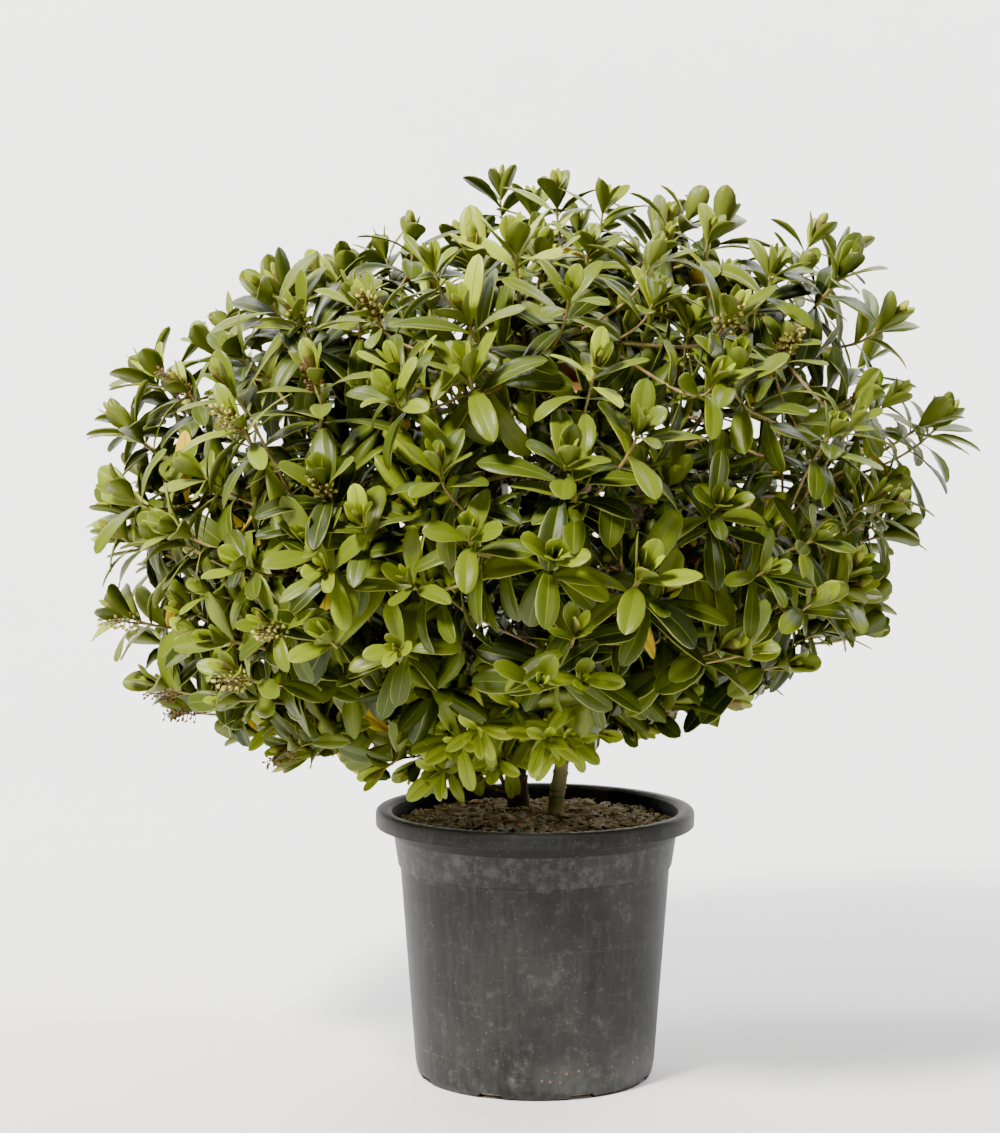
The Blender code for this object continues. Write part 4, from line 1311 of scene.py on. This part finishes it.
class HEBE_OT_potting_mix(bpy.types.Operator):
    """Fill the pot with lumpy mix, and strew chips, straws and fallen leaves on it"""

    bl_idname = "hebe.potting_mix"
    bl_label = "Potting mix"

    def fill(self, colours):
        """The body of the mix: its lumpy top, then the inside of the pot down to the floor."""
        rings, sides = 40, 120

        def ring(radius):
            turns = [2 * math.pi * j / sides for j in range(sides)]
            return [(radius * math.cos(turn), radius * math.sin(turn)) for turn in turns]

        edge = COLLAR_TOP_RADIUS - POT_WALL - 1.6 * MM
        step = COLLAR_FOOT_RADIUS - COLLAR_STEP - POT_WALL - 0.6 * MM
        points = [(0, 0, soil_height(0, 0))]
        for i in range(1, rings + 1):
            points += [(x, y, soil_height(x, y)) for x, y in ring(edge * (i / rings) ** 0.9)]
        lower = ((step, COLLAR_FOOT), (BASE_RADIUS - POT_WALL - 4 * MM, POT_FLOOR + SEAT_GAP))
        for radius, height in lower:
            points += [(x, y, height) for x, y in ring(radius)]
        here = np.arange(sides)
        hub = np.stack([np.zeros(sides, int), 1 + here, 1 + (here + 1) % sides], axis=-1)
        walls = bands(1, rings + 2, sides)[:, [0, 3, 2, 1]]
        base = (1 + (rings + 1) * sides + here[::-1])[None]
        pile = Pile()
        pile.add(points, (hub, 0), (walls, 0), (base, 0))
        finish = earth_finish("potting_mix", colours.mix_dark, colours.mix_light)
        pile.piece("potting_mix_fill", [finish], "potting_mix", ["potting_mix"])

    def strew(self, sizes, colours):
        """Chips and straws, each a box with shaken corners, turned, pitched and rolled."""
        rng = random.Random(SEED + 1)
        pile = Pile()
        edge = COLLAR_TOP_RADIUS - POT_WALL - 4 * MM
        box = np.array([(x, y, z) for z in (-0.5, 0.5) for y in (-0.5, 0.5) for x in (-0.5, 0.5)])
        faces = np.array(
            [(0, 2, 3, 1), (4, 5, 7, 6), (0, 1, 5, 4), (2, 6, 7, 3), (0, 4, 6, 2), (1, 3, 7, 5)]
        )
        for _ in range(sizes.chip_count):
            radius, angle = edge * math.sqrt(rng.random()), rng.uniform(0, 2 * math.pi)
            x, y = radius * math.cos(angle), radius * math.sin(angle)
            ranges = STRAW_SIZES if rng.random() < STRAW_SHARE else CHIP_SIZES
            size = np.array([rng.uniform(low, high) for low, high in ranges]) * MM
            shake = np.array([[rng.uniform(0.7, 1.1) for _ in range(3)] for _ in range(8)])
            turn, pitch, roll = rng.uniform(0, 2 * math.pi), rng.gauss(0, 0.16), rng.gauss(0, 0.30)
            cos, sin = math.cos(turn), math.sin(turn)
            about = np.array([(cos, -sin, 0), (sin, cos, 0), (0, 0, 1)])
            cos, sin = math.cos(pitch), math.sin(pitch)
            tip = np.array([(cos, 0, sin), (0, 1, 0), (-sin, 0, cos)])
            cos, sin = math.cos(roll), math.sin(roll)
            bank = np.array([(1, 0, 0), (0, cos, -sin), (0, sin, cos)])
            corners = (box * size * shake) @ (about @ tip @ bank).T
            reach = np.hypot(corners[:, 0] + x, corners[:, 1] + y).max()
            if reach > edge + 2 * MM:
                continue
            height = soil_height(x, y) + size[2] * 0.5 + rng.uniform(-0.2, 2.0) * MM
            kind = rng.choices(range(len(CHIP_KINDS)), CHIP_KINDS)[0]
            pile.add(corners + (x, y, height), (faces, kind))
        finishes = [
            chip_finish("straw", colours.straw),
            chip_finish("bark_chip", colours.chip),
            chip_finish("dark_chip", colours.mix_dark),
            chip_finish("pale_grit", (0.62, 0.58, 0.50)),
        ]
        pile.piece("chips", finishes, "potting_mix", smooth=False)

    def fallen(self, colours):
        """Dry leaves where they lie: place, bearing, length, width, curl and rise."""
        rows = (
            (0.115, -0.020, 250, 30, 11, 0.6, 2),
            (-0.095, -0.055, 20, 34, 10, 0.5, -4),
            (0.046, -0.098, 40, 18, 8, 0.8, 6),
            (-0.003, -0.040, 200, 16, 7, 0.4, 4),
            (0.095, -0.055, 75, 26, 8, 1.2, 40),
            (-0.050, 0.070, 130, 30, 12, 0.6, 3),
            (0.060, 0.075, 310, 28, 11, 0.7, 4),
            (-0.100, 0.030, 80, 26, 10, 0.5, 0),
        )
        leaves = LeafPile()
        for k, (x, y, bearing, length, width, bend, rise) in enumerate(rows):
            way = np.array(direction(bearing, rise))
            base = np.array((x, y, soil_height(x, y) + 3.4 * MM))
            leaves.add(base, way, UP, length * MM, width * MM, bend, 0.5, 0.4, k, k % 2)
        pile = Pile()
        leaves.into(pile, FINE_LEAF, {0: (0, 1, 1, 0, 0), 1: (2, 1, 1, 2, 2)})
        finishes = [
            leaf_finish("fallen_tan", (0.42, 0.25, 0.09), 0.6),
            leaf_finish("fallen_rib", (0.30, 0.16, 0.06), 0.7),
            leaf_finish("fallen_orange", (0.50, 0.19, 0.04), 0.6),
        ]
        pile.piece("fallen_leaves", finishes, "foliage")

    def execute(self, context):
        sizes, colours = props(context)
        self.fill(colours)
        self.strew(sizes, colours)
        self.fallen(colours)
        return {"FINISHED"}


class HEBE_OT_bark(bpy.types.Operator):
    """Cover the stems, limbs and boughs with bark in relief"""

    bl_idname = "hebe.bark"
    bl_label = "Stems and boughs"

    def relief(self, depth, ring_gap, ring_depth, rng):
        """A change of radius: lumps, upright ridges and, where ring_gap is set, old leaf scars."""
        shift = rng.uniform(0, 50)

        def change(point, ring):
            spots = [Vector(point) * 60 + Vector(way) * 0.8 + Vector((shift, 0, 0)) for way in ring]
            low = np.array([noise.noise(spot) for spot in spots])
            spots = [Vector((way[0] * 3, way[1] * 3, point[2] * 90 + shift)) for way in ring]
            fine = np.array([noise.noise(spot) for spot in spots])
            scars = 0
            if ring_gap:
                place = point[2] / ring_gap
                off = abs(place - round(place)) * ring_gap
                scars = ring_depth * math.exp(-((off / (1.3 * MM)) ** 2))
            return 1 + depth * low + 0.5 * depth * fine + scars

        return change

    def run_of(self, limb):
        """The limb's points, started inside its parent so that the fork closes."""
        points, radii = list(limb.points), list(limb.radii)
        if limb.parent:
            parent = limb.parent
            points[0] = parent.tip - parent.way * (parent.end_radius * 0.6)
            radii[0] = min(radii[0] * 1.25, parent.end_radius * 0.9)
        if limb.name in STEMS:
            points[0] = points[0] - Vector((0, 0, 4 * MM))
            points.insert(0, points[0] - Vector((0, 0, 6 * MM)))
            radii.insert(0, radii[0] * 1.15)
        return points, radii

    def execute(self, context):
        sizes, colours = props(context)
        growth = Growth.get(sizes)
        rng = random.Random(SEED + 2)
        light, dark = Pile(), Pile()
        for limb in growth.limbs.values():
            points, radii = self.run_of(limb)
            pale = limb.name == "stem_light"
            step = 1.5 * MM if limb.name in STEMS else 3 * MM
            run, widths, _ = smooth_run(points, radii, step)
            relief = self.relief(0.10, 13 * MM, 0.16, rng) if pale else self.relief(0.20, 0, 0, rng)
            shell, faces, ends = swept(run, widths, 24 if limb.name in STEMS else 14, relief)
            (light if pale else dark).add(shell, (faces, 0), (ends, 0))
        names = [name for name in growth.limbs if name != "stem_light"]
        light.piece("light_stem", [light_bark_finish(colours)], "bark", ["stem_light"])
        dark.piece("dark_stem_and_boughs", [dark_bark_finish(colours)], "bark", names)
        return {"FINISHED"}


class HEBE_OT_twigs(bpy.types.Operator):
    """Grow the twigs, brown inside the crown and yellow-green among the leaves"""

    bl_idname = "hebe.twigs"
    bl_label = "Twigs"

    def execute(self, context):
        sizes, colours = props(context)
        growth = Growth.get(sizes)
        old, young = Pile(), Pile()
        for stem in growth.stems.values():
            points = [stem.parent.tip, *stem.points[1:]] if stem.name not in SPROUTS else stem.points
            run, radii, _ = smooth_run(points, stem.radii, 6 * MM)
            shell, faces, ends = swept(run, radii, 8)
            old.add(shell, (faces, 0), (ends, 0))
        for shoot in growth.shoots:
            back = shoot.at[-1] - shoot.at
            slim = TWIG_TIP_RADIUS + TWIG_GAIN * np.clip(back / TWIG_GAIN_LENGTH, 0, 1)
            radii = slim * shoot.size * node_swelling(back, shoot.size)
            leafy = back < LEAFY_LENGTH * 0.8 * shoot.size
            first = max(1, int(np.argmax(leafy)))
            if first >= 2:
                shell, faces, _ = swept(shoot.run[: first + 1], radii[: first + 1], 5)
                old.add(shell, (faces, 0))
            if len(shoot.run) - first >= 2:
                shell, faces, ends = swept(shoot.run[first:], radii[first:], 5)
                young.add(shell, (faces, 0), (ends[1:], 0))
        old.piece("old_twigs", [old_twig_finish(colours)], "bark")
        young.piece("young_twigs", [young_twig_finish(colours)], "bark")
        return {"FINISHED"}


class HEBE_OT_leaves(bpy.types.Operator):
    """Grow the leaves, in pairs down every shoot, with their tints dealt out by spray"""

    bl_idname = "hebe.leaves"
    bl_label = "Leaves"

    def execute(self, context):
        sizes, colours = props(context)
        growth = Growth.get(sizes)
        finishes, slots = leaf_finishes(colours)
        rng = random.Random(SEED + 3)
        for name, masses in LEAF_PIECES.items():
            outer, inner = LeafPile(), LeafPile()
            for shoot in growth.shoots:
                if shoot.mass in masses:
                    add_shoot_leaves(shoot, sizes, rng, inner if shoot.inner else outer)
            pile = Pile()
            outer.into(pile, FINE_LEAF, slots)
            inner.into(pile, PLAIN_LEAF, slots)
            made = pile.piece(name, finishes, "foliage", masses)
            triangles = 2 * len(made.data.polygons)
            if triangles >= 200_000:
                raise RuntimeError(f"{name} has {triangles} triangles")
        return {"FINISHED"}


class HEBE_OT_seed_heads(bpy.types.Operator):
    """Set the green and the dry seed heads below the shoots' tips"""

    bl_idname = "hebe.seed_heads"
    bl_label = "Seed heads"

    def execute(self, context):
        sizes, colours = props(context)
        shoots = [shoot for shoot in Growth.get(sizes).shoots if not shoot.inner]
        rng = random.Random(SEED + 4)
        fresh, dry = Pile(), Pile()
        for azimuth, elevation, old in SEED_HEADS:
            way = direction(azimuth, elevation)
            shoot = min(shoots, key=lambda other: way.angle(other.way))
            joint, ahead = shoot.back(rng.uniform(14, 28) * MM)
            lean = unit(np.array(way) * 0.9 + ahead * 0.35 + UP * 0.1)
            add_seed_head(dry if old else fresh, joint, lean, rng, old)
        green = leaf_finish("seed_green", colours.seed_green, 0.5)
        husk = leaf_finish("seed_husk", colours.seed_dry, 0.8)
        dark = leaf_finish("seed_dry", tuple(part * 1.4 for part in colours.seed_dry), 0.85)
        fresh.piece("seed_heads_green", [green, husk], "foliage")
        dry.piece("seed_heads_dry", [husk, dark], "foliage")
        return {"FINISHED"}


class HEBE_OT_stage(bpy.types.Operator):
    """Set the floor, backdrop, lights and camera"""

    bl_idname = "hebe.stage"
    bl_label = "Stage"

    def lamp(self, name, place, target, size, power, colour):
        data = bpy.data.lights.new(name, "AREA")
        data.shape = "DISK"
        data.size = size
        data.energy = power
        data.color = colour
        lamp = linked(name, data)
        lamp.location = place
        lamp.rotation_euler = (Vector(target) - Vector(place)).to_track_quat("-Z", "Y").to_euler()

    def sweep(self):
        """The pale floor that bends up into a wall."""
        rows = [(FLOOR_FRONT, 0.0), (WALL_PLACE - WALL_BEND, 0.0)]
        for i in range(1, BEND_STEPS + 1):
            turn = math.pi / 2 * i / BEND_STEPS
            rise = WALL_BEND * (1 - math.cos(turn))
            rows.append((WALL_PLACE - WALL_BEND + WALL_BEND * math.sin(turn), rise))
        rows.append((WALL_PLACE, WALL_TOP))
        points = [(x, y, z) for y, z in rows for x in (-FLOOR_HALF_WIDTH, FLOOR_HALF_WIDTH)]
        faces = [(low, low + 1, low + 3, low + 2) for low in range(0, len(points) - 2, 2)]
        mesh = bpy.data.meshes.new("studio_sweep")
        mesh.from_pydata(points, [], faces)
        mesh.shade_smooth()
        paper = Finish("studio_paper", (0.80, 0.80, 0.80), 0.9)
        paper.feed("Base Color", paper.mix(paper.noise(6, 2), (0.79, 0.79, 0.80), (0.82, 0.82, 0.82)))
        mesh.materials.append(paper.material)
        sweep = linked("studio_sweep", mesh)
        sweep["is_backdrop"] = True

    def execute(self, context):
        self.sweep()
        for lamp in LAMPS:
            self.lamp(*lamp)
        context.scene.view_settings.look = "AgX - Punchy"
        world = bpy.data.worlds.new("studio")
        world.use_nodes = True
        sky = world.node_tree.nodes["Background"]
        sky.inputs["Color"].default_value = SKY_COLOUR
        sky.inputs["Strength"].default_value = SKY_STRENGTH
        context.scene.world = world
        data = bpy.data.cameras.new("camera")
        data.sensor_fit = "VERTICAL"
        data.sensor_height = SENSOR_HEIGHT
        data.lens = SENSOR_HEIGHT * FOCAL_PIXELS / PICTURE_HEIGHT
        camera = linked("camera", data)
        camera.location = CAMERA_PLACE
        camera.rotation_euler = (math.radians(90 - CAMERA_TILT), 0, 0)
        context.scene.camera = camera
        return {"FINISHED"}


class HEBE_PT_panel(bpy.types.Panel):
    """Sizes, colours and pieces of the potted hebe"""

    bl_label = "Potted hebe"
    bl_idname = "HEBE_PT_panel"
    bl_space_type = "VIEW_3D"
    bl_region_type = "UI"
    bl_category = "Hebe"

    def draw(self, context):
        layout = self.layout
        for group in props(context):
            box = layout.box()
            for name in group.__annotations__:
                box.prop(group, name)
        for operator in OPERATORS:
            layout.operator(operator.bl_idname)


OPERATORS = (
    HEBE_OT_stage,
    HEBE_OT_pot,
    HEBE_OT_potting_mix,
    HEBE_OT_bark,
    HEBE_OT_twigs,
    HEBE_OT_leaves,
    HEBE_OT_seed_heads,
)
CLASSES = (HebeSizes, HebeColours, *OPERATORS, HEBE_PT_panel)


def register():
    for each in CLASSES:
        bpy.utils.register_class(each)
    bpy.types.Scene.hebe_sizes = bpy.props.PointerProperty(type=HebeSizes)
    bpy.types.Scene.hebe_colours = bpy.props.PointerProperty(type=HebeColours)


def unregister():
    del bpy.types.Scene.hebe_colours
    del bpy.types.Scene.hebe_sizes
    for each in reversed(CLASSES):
        bpy.utils.unregister_class(each)


def main():
    register()
    for operator in OPERATORS:
        name = operator.bl_idname.split(".")[1]
        getattr(bpy.ops.hebe, name)()
    boxes = {"cad": CAD_BOX, "visual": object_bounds()}
    {name: [[float(v) for v in corner] for corner in box] for name, box in boxes.items()}


if __name__ == "__main__":
    main()
